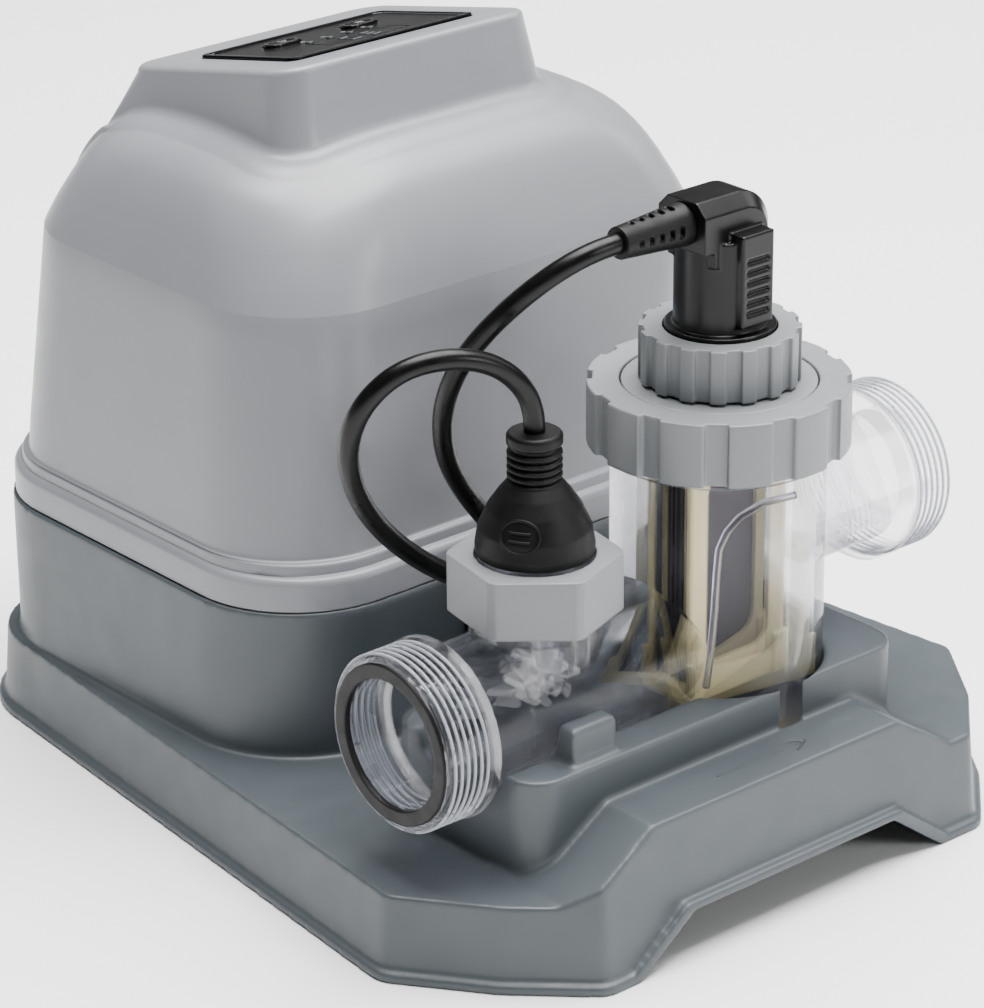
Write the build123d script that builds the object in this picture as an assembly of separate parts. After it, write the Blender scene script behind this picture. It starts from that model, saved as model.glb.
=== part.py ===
from build123d import *
import os
from math import atan, cos, degrees, radians, sin, tan

# Salt chlorine generator: a floor-standing control box with a see-through electrolytic
# cell in front of it.  Millimetres, +Z up, origin on the floor under the middle of the
# base.  The water runs along +X through the flow body, in front of the box.

# ---- base tray -------------------------------------------------------------------------
base_width = 272.0          # widest, at the front shoulders
base_depth = 331.0
rear_width = 220.0
front_foot_width = 174.0    # straight front edge between the chamfered corners
shoulder_from_front = 56.5
chamfer_mid_in = 24.0       # middle corner of the chamfer, in from the front and the side
shell_wall = 3.0
lip_out = 2.5
lip_height = 3.5
skirt_draft = 4.4           # degrees
left_deck_top = 29.5
right_deck_top = 34.5
front_deck_top = 50.5
front_deck_left, front_deck_right = -62.0, 50.0
deck_ramp_slope = 0.63
arch_height = 17.3
arch_left, arch_right = -49.0, 44.0
arch_slope = 0.74

# ---- control box -----------------------------------------------------------------------
box_width = 215.2
box_front_y, box_back_y = -24.5, 159.5
box_corner = 45.0
box_top = 83.6
fit_gap = 0.3
flange_in = 1.6             # the cover's flange stands this far inside the box's own side
flange_height = 12.4
flange_step = 4.0
cover_wall = 3.0
cover_inset = 4.0           # wall of the cover, in from the flange
cover_draft_width = 4.0     # the walls close in by this much up to the shoulder
cover_lean = 5.0            # the shoulder and dome stand this far towards the outlet side
block_lean = 3.0
cover_right_corner = 24.0   # corners of the shoulder on the outlet side
shoulder_top = 184.0
cover_end_inset = 1.5
corner_growth = 0.3         # corners of the dome grow by this share as it closes in
dome_steps = [(0.0, 0.0), (6.0, 2.0), (17.0, 6.0), (30.0, 12.5), (37.0, 19.0), (41.0, 27.0)]
block_width = 127.2          # raised block, where its faces run out inside the dome
block_front_y, block_back_y = 20.1, 145.0
block_reach = 26.0           # its faces run down to this far below the ledge
block_close_side, block_close_front, block_close_back = 9.6, 16.4, 27.0
block_corner = 13.0
panel_tilt_slope = 0.206
panel_front_height = 254.2
panel_front_y = 36.8

# ---- control panel ---------------------------------------------------------------------
panel_width, panel_depth, panel_thick = 82.0, 55.0, 2.6
panel_y = 74.5
panel_corner = 4.0
button_spacing = 34.5
button_length, button_width = 15.0, 9.0
button_row = 9.5            # from the middle of the panel, up the slope
button_travel = 0.8
button_gap = 0.35
display_length, display_width = 34.0, 14.0
display_row = -13.0
lens_count, lens_pitch, lens_radius = 4, 9.0, 1.6
lens_row = -1.5

# ---- flow body -------------------------------------------------------------------------
pipe_y = -99.5
inlet_z = 77.0
outlet_z = 111.8
inlet_face_x, outlet_face_x = -121.0, 105.0
pipe_radius, outlet_pipe_radius = 25.0, 23.5
pipe_bore, outlet_bore = 21.8, 19.8     # bores of the hose tails
tail_bore_length = 40.0
bore_step = 0.6             # the bores are this much narrower beyond the tails
thread_radius, thread_root = 30.0, 28.5
thread_pitch, thread_turns = 2.7, 6
hose_flange_radius, hose_flange_length = 30.8, 3.0
gasket_radius, gasket_thick = 27.2, 2.5
cell_x = 22.0
chamber_radius, chamber_wall = 36.3, 3.2
chamber_bottom = 48.0
chamber_rim = 151.0
neck_radius = 38.2
sensor_x = -59.5
port_radius, port_bore = 22.0, 17.5
port_rim = 117.0

# ---- cradle ----------------------------------------------------------------------------
cradle_left, cradle_right = -93.0, 76.0
cradle_half_depth = 36.5
cradle_top = 65.0
cradle_corner = 12.0
cradle_gap = 0.4
clip_left, clip_right = -72.6, -53.3
clip_top = 77.6

# ---- cell cartridge --------------------------------------------------------------------
nut_gap = 0.5
collar_radius, collar_root, collar_lobes = 44.2, 42.2, 12
collar_bottom, collar_top = 143.0, 165.0
cap_flange_radius, cap_flange_thick = 37.0, 6.5
cap_disc_radius = 32.6
cap_neck_radius = 21.0
plug_nut_radius, plug_nut_root, plug_nut_ribs = 27.0, 25.4, 16
plug_nut_height = 17.0
plug_seat = 178.0
socket_radius = 16.4
frame_length, frame_depth = 44.0, 21.5
frame_bar = 7.5
frame_window_corner = 7.0
frame_bottom = 55.0
plate_count, plate_thick = 7, 1.0
pin_radius, pin_spread = 2.0, 8.0

# ---- cell plug -------------------------------------------------------------------------
plug_flange_radius = 20.4
plug_collar_radius = 18.6
barrel_radius = 15.6
arm_height = 222.5
arm_half = 8.6
plug_top = 231.0
elbow_half_width, elbow_drop = 11.2, 14.0
elbow_bend, elbow_chamfer = 14.0, 4.5
relief_start, relief_end = 4.0, -24.0

# ---- flow sensor -----------------------------------------------------------------------
sensor_nut_radius = 28.6
sensor_nut_turn = 19.3      # degrees
sensor_nut_bottom, sensor_nut_top = 105.7, 126.0
stem_radius = 16.9
paddle_z = 83.0
paddle_radius, paddle_width, paddle_blades = 10.5, 9.0, 6
axle_radius, axle_gap = 1.2, 0.06
fork_thick = 2.4
boot_bottom, boot_top = 126.6, 168.0
neck_low, neck_ribs, neck_pitch = 150.5, 5, 2.5

# ---- cords -----------------------------------------------------------------------------
cord_radius = 3.5
gland_radius, gland_length = 8.5, 5.5
gland_tip_radius = 5.0
sensor_gland_x, cell_gland_x, gland_z = 4.0, -18.0, 64.0
sensor_route = [
    (-59.5, -99.5, 168.0), (-59.5, -99.5, 176.0), (-65.5, -98.3, 187.0), (-76.0, -95.8, 195.0),
    (-90.0, -91.5, 198.5), (-104.0, -85.5, 196.0), (-113.5, -78.5, 184.5), (-114.5, -72.0, 168.5),
    (-107.5, -67.0, 150.5), (-96.0, -64.5, 133.5), (-79.5, -63.5, 117.5), (-60.0, -63.0, 103.5),
    (-38.0, -62.5, 93.0), (-19.0, -61.0, 83.0), (-4.5, -56.0, 72.5), (4.0, -44.0, 64.0),
]
cell_route = [
    (-24.0, -99.5, 222.5), (-36.0, -99.5, 222.5), (-49.5, -92.0, 214.0), (-59.0, -81.0, 200.5),
    (-65.0, -70.0, 184.5), (-65.5, -61.0, 166.0), (-60.0, -55.0, 146.5), (-49.5, -52.0, 129.0),
    (-36.0, -52.0, 112.0), (-25.0, -52.5, 94.0), (-18.5, -52.5, 76.0), (-18.0, -42.5, 64.0),
]

# ---- electronics and fasteners ---------------------------------------------------------
board_z, board_thick = 26.0, 1.6
post_radius = 4.0
screw_radius, screw_head_radius = 1.6, 3.2

housing_mid_y = (box_front_y + box_back_y) / 2
flange_half = (box_width / 2 - flange_in, (box_back_y - box_front_y) / 2 - 0.5)
panel_tilt = degrees(atan(panel_tilt_slope))
ledge_top = shoulder_top + dome_steps[-1][0]


def post(radius, low, high, x=0.0, y=0.0):
    """Upright cylinder between two heights."""
    return Pos(x, y, (low + high) / 2) * Cylinder(radius, high - low)


def bar(radius, start, end, y, z):
    """Cylinder along X between two stations."""
    return Pos((start + end) / 2, y, z) * Rot(0, 90, 0) * Cylinder(radius, end - start)


def block(x_low, x_high, y_low, y_high, z_low, z_high):
    """Box between two corners."""
    middle = Pos((x_low + x_high) / 2, (y_low + y_high) / 2, (z_low + z_high) / 2)
    return middle * Box(x_high - x_low, y_high - y_low, z_high - z_low)


def rounded_block(half_x, half_y, corner, low, high, x=0.0, y=0.0):
    """Upright prism with a rounded rectangular plan."""
    plan = Pos(x, y, low) * RectangleRounded(2 * half_x, 2 * half_y, corner)
    return extrude(plan, high - low)


def turned(profile, x, y):
    """Solid of revolution about an upright axis, from (radius, height) points."""
    face = Plane.XZ * make_face(Polyline(*profile, close=True))
    return Pos(x, y, 0) * revolve(face, Axis.Z)


def lobed(root, tip, count, share, low, high, x, y):
    """Ring of raised lobes round a core, as grips stand on a nut."""
    plan = Circle(root)
    half = radians(180.0 / count * share)
    reach = 2 * tip
    for index in range(count):
        middle = 2 * radians(180.0) * index / count
        wedge = Polyline(
            (0, 0),
            (reach * cos(middle - half), reach * sin(middle - half)),
            (reach * cos(middle + half), reach * sin(middle + half)),
            close=True,
        )
        plan += Circle(tip) & make_face(wedge)
    return Pos(x, y, low) * extrude(plan, high - low)


# ==== base tray ===========================================================================
half_w, half_d = base_width / 2, base_depth / 2
rim_points = [
    (-front_foot_width / 2, -half_d),
    (front_foot_width / 2, -half_d),
    (half_w - chamfer_mid_in, -half_d + chamfer_mid_in),
    (half_w, -half_d + shoulder_from_front),
    (rear_width / 2, half_d),
    (-rear_width / 2, half_d),
    (-half_w, -half_d + shoulder_from_front),
    (-half_w + chamfer_mid_in, -half_d + chamfer_mid_in),
]
rim_radii = [9.0, 9.0, 26.0, 12.0, 42.0, 42.0, 12.0, 26.0]


def rim_face(inset):
    """Plan of the tray, set in from its outer rim."""
    outline = make_face(FilletPolyline(*rim_points, radius=rim_radii, close=True))
    return offset(outline, amount=-inset, kind=Kind.INTERSECTION) if inset else outline


def skirt(inset, top):
    """Tapering wall of the tray as a solid, from the floor to a deck."""
    return extrude(rim_face(lip_out + inset), top, taper=skirt_draft)


def front_deck(inset):
    """Raised deck in front of the cradle, with a ramp at each end."""
    left_run = (front_deck_top - left_deck_top) / deck_ramp_slope
    right_run = (front_deck_top - right_deck_top) / deck_ramp_slope
    top = front_deck_top - inset
    profile = Polyline(
        (front_deck_left - left_run, -1), (front_deck_left - left_run, left_deck_top - inset),
        (front_deck_left, top), (front_deck_right, top),
        (front_deck_right + right_run, right_deck_top - inset), (front_deck_right + right_run, -1),
        close=True,
    )
    back = pipe_y - cradle_half_depth + 20.0
    prism = Pos(0, back, 0) * extrude(Plane.XZ * make_face(profile), half_d + back + 5.0)
    return prism & skirt(inset, front_deck_top + 5.0)


def cradle_block(inset):
    """Block that the flow body lies in."""
    return rounded_block(
        (cradle_right - cradle_left) / 2 - inset, cradle_half_depth - inset,
        cradle_corner - inset, 0, cradle_top - inset,
        (cradle_right + cradle_left) / 2, pipe_y,
    )


def upright_box(inset, top):
    """Lower half of the control box."""
    half_depth = (box_back_y - box_front_y) / 2
    return rounded_block(
        box_width / 2 - inset, half_depth - inset, box_corner - inset, 0, top, 0, housing_mid_y)


def base_volume(inset):
    """Whole outer form of the tray; with an inset, the space inside its wall."""
    form = skirt(inset, left_deck_top - inset)
    form += skirt(inset, right_deck_top - inset) & block(0, half_w, -half_d, half_d, -1, 60)
    form += front_deck(inset) + cradle_block(inset)
    return form


def flow_seat(gap):
    """Trough and pocket that the flow body lies in, grown by a gap."""
    trough = bar(pipe_radius + gap, cradle_left - 20, cell_x, pipe_y, inlet_z)
    trough += block(cradle_left - 20, cell_x, pipe_y - pipe_radius - gap,
                    pipe_y + pipe_radius + gap, inlet_z, clip_top + 40)
    return trough + post(chamber_radius + gap, chamber_bottom - gap, clip_top + 40, cell_x, pipe_y)


def arch(grow):
    """Raised arch in the front foot of the tray."""
    height = arch_height + grow
    side = grow * 0.8
    run = height / arch_slope
    profile = Polyline(
        (arch_left - side - run, 0), (arch_left - side, height),
        (arch_right + side, height), (arch_right + side + run, 0), close=True,
    )
    return Plane.XZ * make_face(profile)


lip = extrude(rim_face(0), lip_height) - extrude(rim_face(lip_out + shell_wall), lip_height)
arch_cut = Pos(0, -half_d + 12, 0) * extrude(arch(0), 20)
arch_lip = Pos(0, -half_d + lip_out + shell_wall, 0) * extrude(arch(lip_height), lip_out + shell_wall)
clip_body = block(clip_left, clip_right, pipe_y - cradle_half_depth + 3.5, pipe_y, 40, clip_top)
clip_body = chamfer(clip_body.edges().group_by(Axis.Z)[-1], 1.5)

base_shell = base_volume(0) + upright_box(0, box_top) + clip_body
base_shell -= base_volume(shell_wall) - flow_seat(cradle_gap + shell_wall)
base_shell -= upright_box(shell_wall, box_top + 1)
base_shell += lip + arch_lip
base_shell -= arch_cut
base_shell -= flow_seat(cradle_gap)

# glands' holes in the front wall, mains inlet's hole in the back wall
gland_xs = {"sensor": sensor_gland_x, "cell": cell_gland_x}
for gland_x in gland_xs.values():
    base_shell -= Pos(gland_x, box_front_y, gland_z) * Rot(90, 0, 0) * Cylinder(gland_radius - 2, 12)
mains_x, mains_z = -60.0, 60.0
base_shell -= Pos(mains_x, box_back_y, mains_z) * Rot(90, 0, 0) * Cylinder(gland_radius - 2, 12)

# engraved flow arrow on the front deck
arrow_depth, arrow_width = 0.6, 1.2
arrow_y = (-half_d + lip_out + 3.5 + pipe_y - cradle_half_depth) / 2
arrow_left, arrow_right, barb = -23.0, 17.0, 6.0
arrow = block(arrow_left, arrow_right, arrow_y - arrow_width / 2, arrow_y + arrow_width / 2,
              front_deck_top - arrow_depth, front_deck_top + 1)
for side in (-1, 1):
    stroke = Pos(-barb / 2, 0, 0) * Box(barb, arrow_width, arrow_depth + 1)
    arrow += Pos(arrow_right, arrow_y, front_deck_top + (1 - arrow_depth) / 2) * Rot(0, 0, 35 * side) * stroke
base_shell -= arrow

# posts inside the tray: four tall ones take the cover's screws, four short ones the board
cover_screw_spots = [(sx * (box_width / 2 - 16), y) for sx in (-1, 1)
                     for y in (box_front_y + 42, box_back_y - 42)]
plate_low, plate_thick_floor = 3.5, 2.5
plate_high = plate_low + plate_thick_floor
tower_top = box_top - 0.4
for x, y in cover_screw_spots:
    tower = post(5.5, plate_high, tower_top, x, y) - post(screw_radius + 0.3, 0, tower_top + 1, x, y)
    web = block(min(x, (box_width / 2 - 1.5) * (1 if x > 0 else -1)),
                max(x, (box_width / 2 - 1.5) * (1 if x > 0 else -1)), y - 1.5, y + 1.5,
                plate_high, tower_top)
    web -= post(5.0, 0, tower_top + 1, x, y)
    base_shell += tower + web

nodes = {"base_shell": base_shell}

# ==== floor plate ===========================================================================
plate_inset = shell_wall + fit_gap
bottom_plate = upright_box(plate_inset, plate_high) - block(-half_w, half_w, -half_d, half_d, -1, plate_low)
for x, y in cover_screw_spots:
    bottom_plate -= post(screw_head_radius + 0.4, 0, plate_high + 1, x, y)
board_spots = [(sx * 70.0, y) for sx in (-1, 1) for y in (20.0, 120.0)]
for x, y in board_spots:
    bottom_plate += post(post_radius, plate_high, board_z, x, y)
    bottom_plate -= post(screw_radius, board_z - 10, board_z + 1, x, y)
for x in [i * 16.0 - 40.0 for i in range(6)]:
    bottom_plate -= block(x - 2, x + 2, 50, 90, 0, plate_high + 1)
nodes["bottom_plate"] = bottom_plate


def pan_screw(x, y, seat, tip, up=True):
    """Pan-head screw: its head lies on the seat, its shank runs to the tip."""
    head = post(screw_head_radius, seat, seat + 2.2, x, y) if up else post(
        screw_head_radius, seat - 2.2, seat, x, y)
    low, high = min(seat, tip), max(seat, tip)
    slot = block(x - 2.2, x + 2.2, y - 0.4, y + 0.4, seat + 1.2, seat + 3) if up else block(
        x - 2.2, x + 2.2, y - 0.4, y + 0.4, seat - 3, seat - 1.2)
    return head + post(screw_radius - 0.1, low, high, x, y) - slot


# ==== cover ================================================================================
def cover_section(half_x, half_y, left_corner, right_corner, height, x=0.0):
    """Rounded plan of the cover at one height."""
    plan = Rectangle(2 * half_x, 2 * half_y)
    plan = fillet(plan.vertices().group_by(Axis.X)[-1], right_corner)
    plan = fillet(plan.vertices().group_by(Axis.X)[0], left_corner)
    return Pos(x, housing_mid_y, height) * plan


def cover_body(inset):
    """Walls, shoulder and dome of the cover as a solid, set in from its outside."""
    half_x = flange_half[0] - cover_inset - inset
    half_y = flange_half[1] - cover_inset - cover_end_inset - inset
    corner = box_corner - cover_inset - inset
    low = box_top - 1 if inset else box_top
    sections = [cover_section(half_x, half_y, corner, corner, low)]
    for rise, close in dome_steps:
        close_in = cover_draft_width + close
        rounder = corner_growth * close_in
        sections.append(cover_section(
            half_x - close_in + 1, half_y - close_in - 1, corner + rounder,
            cover_right_corner - inset + rounder, shoulder_top + rise - inset, cover_lean))
    return loft(sections, ruled=True)


def raised_block(inset):
    """Raised block on the dome that carries the sloping panel, as a solid."""
    low, high = ledge_top - block_reach - inset, panel_front_height + 12
    front, back = block_front_y + inset, block_back_y - inset
    bottom = Pos(block_lean, (front + back) / 2, low) * RectangleRounded(
        block_width - 2 * inset, back - front, block_corner - inset)
    front, back = front + block_close_front, back - block_close_back
    top = Pos(block_lean, (front + back) / 2, high) * RectangleRounded(
        block_width - 2 * (block_close_side + inset), back - front, block_corner - inset)
    form = loft([bottom, top], ruled=True)
    slope = Pos(0, panel_front_y, panel_front_height - inset) * Rot(-panel_tilt, 0, 0)
    return form - slope * Pos(0, 0, 50) * Box(400, 400, 100)


def on_panel(x, row, lift):
    """Place on the sloping panel: across, up the slope, and out of its face."""
    height = panel_front_height - panel_tilt_slope * (panel_y - panel_front_y)
    return Pos(block_lean, panel_y, height) * Rot(-panel_tilt, 0, 0) * Pos(x, row, lift)


def panel_prism(length, width, corner, x, row, low, high):
    """Rounded prism standing on the sloping panel."""
    return on_panel(x, row, low) * extrude(RectangleRounded(length, width, corner), high - low)


flange_low = rounded_block(
    flange_half[0], flange_half[1], box_corner - 1.6, box_top, box_top + flange_height, 0, housing_mid_y)
flange_up = rounded_block(
    flange_half[0] - 2.2, flange_half[1] - 2.8, box_corner - 3.6,
    box_top + flange_height, box_top + flange_height + flange_step, 0, housing_mid_y)
flange_low = fillet(flange_low.edges().group_by(Axis.Z)[-1], 2.4)
flange_up = fillet(flange_up.edges().group_by(Axis.Z)[-1], 2.0)
upper_housing = cover_body(0) + raised_block(0) + flange_low + flange_up
upper_housing -= cover_body(cover_wall) + raised_block(cover_wall)
spigot_out = shell_wall + fit_gap
spigot = upright_box(spigot_out, box_top) - upright_box(spigot_out + 2.4, box_top + 1)
spigot -= block(-half_w, half_w, -half_d, half_d, -1, box_top - 5)
for x, y in cover_screw_spots:
    spigot -= block(x - 16, x + 16, y - 9, y + 9, box_top - 6, box_top)
    boss = post(5.5, box_top, box_top + 26, x, y)
    web_in = (box_width / 2 - 4.5) * (1 if x > 0 else -1)
    web = block(min(x, web_in), max(x, web_in), y - 1.5, y + 1.5, box_top, box_top + 26)
    upper_housing += boss + web
    upper_housing -= post(screw_radius - 0.1, box_top - 1, box_top + 22, x, y)
upper_housing += spigot

recess_gap = 0.2
upper_housing -= panel_prism(
    panel_width + 2 * recess_gap, panel_depth + 2 * recess_gap, panel_corner + recess_gap, 0, 0, -1.6, 5)
upper_housing -= panel_prism(panel_width - 8, panel_depth - 8, 3, 0, 0, -6, 5)
nodes["upper_housing"] = upper_housing

# ==== panel ================================================================================
panel_low = -1.6
panel_bezel = panel_prism(panel_width, panel_depth, panel_corner, 0, 0, panel_low, panel_low + panel_thick)
panel_bezel -= panel_prism(panel_width - 5, panel_depth - 5, 3, 0, 0, panel_low + panel_thick - 0.4, 5)
button_xs = {"power_button": -button_spacing / 2, "boost_button": button_spacing / 2}
face = panel_low + panel_thick - 0.4


def oval(length, width, x, row, low, high):
    """Stadium-shaped prism on the panel."""
    return on_panel(x, row, low) * extrude(SlotOverall(length, width), high - low)


for button_x in button_xs.values():
    panel_bezel -= oval(button_length, button_width, button_x, button_row, -6, 6)
panel_bezel -= panel_prism(display_length, display_width, 1.5, 0, display_row, -6, 6)
lens_xs = [(i - (lens_count - 1) / 2) * lens_pitch for i in range(lens_count)]
for lens_x in lens_xs:
    panel_bezel -= on_panel(lens_x, lens_row, 0) * Cylinder(lens_radius, 12)
nodes["panel_bezel"] = panel_bezel

window = panel_prism(display_length - 0.3, display_width - 0.3, 1.4, 0, display_row, panel_low, face)
nodes["display_window"] = window
nodes["indicator_lenses"] = Compound(
    [on_panel(x, lens_row, (panel_low + face + 0.3) / 2) * Cylinder(lens_radius - 0.1, face + 0.3 - panel_low)
     for x in lens_xs])

switch_low = -6.5
board_top = -7.6
cap_low = switch_low + 2.0 + button_travel + 0.1
for name, button_x in button_xs.items():
    cap = oval(button_length - 2 * button_gap, button_width - 2 * button_gap, button_x, button_row,
               panel_low - 0.3, face + 0.9)
    cap += oval(button_length + 1.5, button_width + 1.5, button_x, button_row,
                panel_low - 1.4, panel_low - 0.1)
    cap += on_panel(button_x, button_row, (cap_low + panel_low - 1.4) / 2) * Cylinder(
        2.2, panel_low - 1.4 - cap_low)
    dish = on_panel(button_x, button_row, face + 0.9) * extrude(
        SlotOverall(button_length - 4.5, button_width - 4.0), 0.6)
    nodes[name] = cap - Pos(0, 0, -0.3) * dish

panel_board = panel_prism(panel_width - 12, panel_depth - 12, 2, 0, 0, board_top - 1.6, board_top)
nodes["panel_board"] = panel_board
stems = [on_panel(x, button_row, (board_top + switch_low) / 2) * Box(6, 6, switch_low - board_top)
         for x in button_xs.values()]
stems = [stem + on_panel(x, button_row, switch_low + 1.0) * Cylinder(1.7, 2.0)
         for stem, x in zip(stems, button_xs.values())]
nodes["panel_switches"] = Compound(stems)
nodes["led_display"] = panel_prism(
    display_length - 4, display_width - 2, 0.8, 0, display_row, board_top, panel_low - 0.1)
nodes["indicator_leds"] = Compound(
    [on_panel(x, lens_row, (board_top + panel_low - 0.1) / 2) * Cylinder(1.4, panel_low - 0.1 - board_top)
     for x in lens_xs])
panel_posts = [(sx * (panel_width / 2 - 9.5), sy * (panel_depth / 2 - 9.5)) for sx in (-1, 1) for sy in (-1, 1)]
post_set = [on_panel(x, row, (board_top + panel_low) / 2) * Cylinder(2.4, panel_low - board_top)
            for x, row in panel_posts]
nodes["panel_standoffs"] = Compound(post_set)

# ==== electronics ==========================================================================
board_half_x, board_y_low, board_y_high = 78.0, 10.0, 130.0
control_board = block(-board_half_x, board_half_x, board_y_low, board_y_high, board_z, board_z + board_thick)
for x, y in board_spots:
    control_board -= post(screw_radius + 0.2, 0, 60, x, y)
nodes["control_board"] = control_board
board_face = board_z + board_thick
nodes["board_screws"] = Compound([pan_screw(x, y, board_face, board_face - 9) for x, y in board_spots])
core_x, core_y = 35.0, 78.0
core = block(core_x - 24, core_x + 24, core_y - 20, core_y + 20, board_face, board_face + 40)
window_x, bobbin = 16.0, 8.0
for side in (-1, 1):
    low, high = sorted((core_x + side * bobbin, core_x + side * window_x))
    core -= block(low, high, core_y - 21, core_y + 21, board_face + 8, board_face + 32)
nodes["transformer_core"] = core
coil = block(core_x - window_x + 0.3, core_x + window_x - 0.3, core_y - 27, core_y + 27,
             board_face + 8.3, board_face + 31.7)
coil -= block(core_x - bobbin - 0.3, core_x + bobbin + 0.3, core_y - 20.3, core_y + 20.3, board_face, board_face + 60)
nodes["transformer_coil"] = coil
nodes["relay"] = block(-30, -10, 95, 111, board_face, board_face + 16)
nodes["fuse_holder"] = block(-60, -36, 100, 108, board_face, board_face + 9)
nodes["capacitors"] = Compound([post(6.5, board_face, board_face + 22, x, 60) for x in (-52, -36, -20)])
terminal = block(-62, -14, 24, 36, board_face, board_face + 13)
for i in range(6):
    terminal -= post(2.2, board_face + 6, board_face + 14, -58 + i * 8, 30)
nodes["terminal_block"] = terminal
nodes["heat_sink"] = block(-6, 6, 20, 50, board_face, board_face + 4) + sum(
    [block(-6 + i * 3, -5 + i * 3, 20, 50, board_face, board_face + 24) for i in range(4)], Part())

cover_screws = [pan_screw(x, y, plate_high, box_top + 20, up=False) for x, y in cover_screw_spots]
nodes["cover_screws"] = Compound(cover_screws)

# ==== flow body ============================================================================
def hose_thread(face_x, way, z):
    """Threaded hose end with its flange ring, along X from its face."""
    points = [(0.0, 0.0), (0.0, thread_root)]
    for turn in range(thread_turns):
        start = 0.8 + turn * thread_pitch
        points += [(start, thread_root), (start + 0.6, thread_radius), (start + 1.5, thread_radius),
                   (start + 2.1, thread_root)]
    end = 0.8 + thread_turns * thread_pitch
    points += [(end, thread_root), (end, hose_flange_radius),
               (end + hose_flange_length, hose_flange_radius), (end + hose_flange_length, 0.0)]
    profile = make_face(Polyline(*[(face_x + way * along, radius) for along, radius in points], close=True))
    return Pos(0, pipe_y, z) * Rot(90, 0, 0) * revolve(profile, Axis.X)


outer = bar(pipe_radius, inlet_face_x + 5, cell_x, pipe_y, inlet_z)
outer += bar(outlet_pipe_radius, cell_x, outlet_face_x - 5, pipe_y, outlet_z)
outer += post(chamber_radius, chamber_bottom, chamber_rim, cell_x, pipe_y)
neck_rings = 4
for i in range(neck_rings):
    ring_low = collar_bottom - 3.0 + i * 2.7
    outer += post(neck_radius, ring_low, ring_low + 1.3, cell_x, pipe_y)
outer += post(port_radius, inlet_z, port_rim, sensor_x, pipe_y)
outer += hose_thread(inlet_face_x, 1, inlet_z) + hose_thread(outlet_face_x, -1, outlet_z)
chamber_bore = chamber_radius - chamber_wall
seat_depth = gasket_thick - 0.8
inner = bar(pipe_bore - bore_step, inlet_face_x, cell_x - 10, pipe_y, inlet_z)
inner += bar(pipe_bore, inlet_face_x - 5, inlet_face_x + seat_depth + tail_bore_length, pipe_y, inlet_z)
inner += bar(outlet_bore - bore_step, cell_x + 10, outlet_face_x, pipe_y, outlet_z)
inner += bar(outlet_bore, outlet_face_x - tail_bore_length, outlet_face_x + 5, pipe_y, outlet_z)
inner += post(chamber_bore, chamber_bottom + chamber_wall, chamber_rim + 1, cell_x, pipe_y)
inner += post(port_bore, inlet_z, port_rim + 1, sensor_x, pipe_y)
flow_body = outer - inner
# seat for the flat hose gasket
flow_body -= bar(gasket_radius + 0.2, inlet_face_x - 1, inlet_face_x + seat_depth, pipe_y, inlet_z)
nodes["flow_body"] = flow_body

nodes["inlet_gasket"] = (
    bar(gasket_radius, inlet_face_x + seat_depth - gasket_thick, inlet_face_x + seat_depth, pipe_y, inlet_z)
    - bar(pipe_bore + 0.4, inlet_face_x - 10, inlet_face_x + 10, pipe_y, inlet_z))

# ==== cell cartridge =======================================================================
cap_low = chamber_rim + 0.2
cap_ledge = cap_low + cap_flange_thick
cap = post(cap_flange_radius, cap_low, cap_ledge, cell_x, pipe_y)
cap += post(chamber_bore - 0.6, cap_low - 9, cap_low, cell_x, pipe_y)
cap += post(cap_disc_radius, cap_ledge, collar_top - 0.4, cell_x, pipe_y)
cap += post(cap_neck_radius, collar_top - 0.4, plug_seat, cell_x, pipe_y)
cap -= post(socket_radius, collar_top, plug_seat + 1, cell_x, pipe_y)
groove = cap_low - 5.0
cap -= post(chamber_bore + 1, groove - 1.3, groove + 1.3, cell_x, pipe_y) - post(
    chamber_bore - 2.6, groove - 2, groove + 2, cell_x, pipe_y)
for side in (-1, 1):
    cap -= post(pin_radius, cap_low - 20, collar_top + 1, cell_x + side * pin_spread, pipe_y)
nodes["cell_cap"] = cap
nodes["cell_o_ring"] = Pos(cell_x, pipe_y, groove) * Torus(chamber_bore - 1.35, 1.2)

cap_underside = cap_low - 9
frame = block(cell_x - frame_length / 2, cell_x + frame_length / 2, pipe_y - frame_depth / 2,
              pipe_y + frame_depth / 2, frame_bottom, cap_underside)
window_low, window_high = frame_bottom + 13.0, cap_underside - 6.0
frame -= Pos(cell_x, pipe_y, (window_low + window_high) / 2) * Rot(90, 0, 0) * extrude(
    RectangleRounded(frame_length - 2 * frame_bar, window_high - window_low, frame_window_corner),
    frame_depth, both=True)
stack_half = frame_depth / 2 - 2.5
frame -= block(cell_x - frame_length, cell_x + frame_length / 2 - 2.4, pipe_y - stack_half,
               pipe_y + stack_half, frame_bottom + 6, cap_underside - 5)
foot_height = 15.0
for side in (-1, 1):
    foot_x = cell_x + side * (frame_length / 2 - 2)
    frame += block(foot_x - 3.5, foot_x + 3.5, pipe_y - frame_depth / 2 - 1.2, pipe_y + frame_depth / 2 + 1.2,
                   frame_bottom, frame_bottom + foot_height) - block(
        foot_x - 8, foot_x + 8, pipe_y - frame_depth / 2 + 1.5, pipe_y + frame_depth / 2 - 1.5,
        frame_bottom + 5, frame_bottom + 40)
nodes["cell_frame"] = frame
plate_gap = (2 * stack_half - plate_count * plate_thick) / (plate_count + 1)
plates = []
for i in range(plate_count):
    low_y = pipe_y - stack_half + plate_gap + i * (plate_thick + plate_gap)
    plates.append(block(cell_x - frame_length / 2 + 1, cell_x + frame_length / 2 - 2.4,
                        low_y, low_y + plate_thick, frame_bottom + 6, cap_underside - 5))
nodes["cell_plates"] = Compound(plates)
pins = [post(pin_radius - 0.05, cap_underside - 5, collar_top + 8, cell_x + side * pin_spread, pipe_y)
        for side in (-1, 1)]
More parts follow.
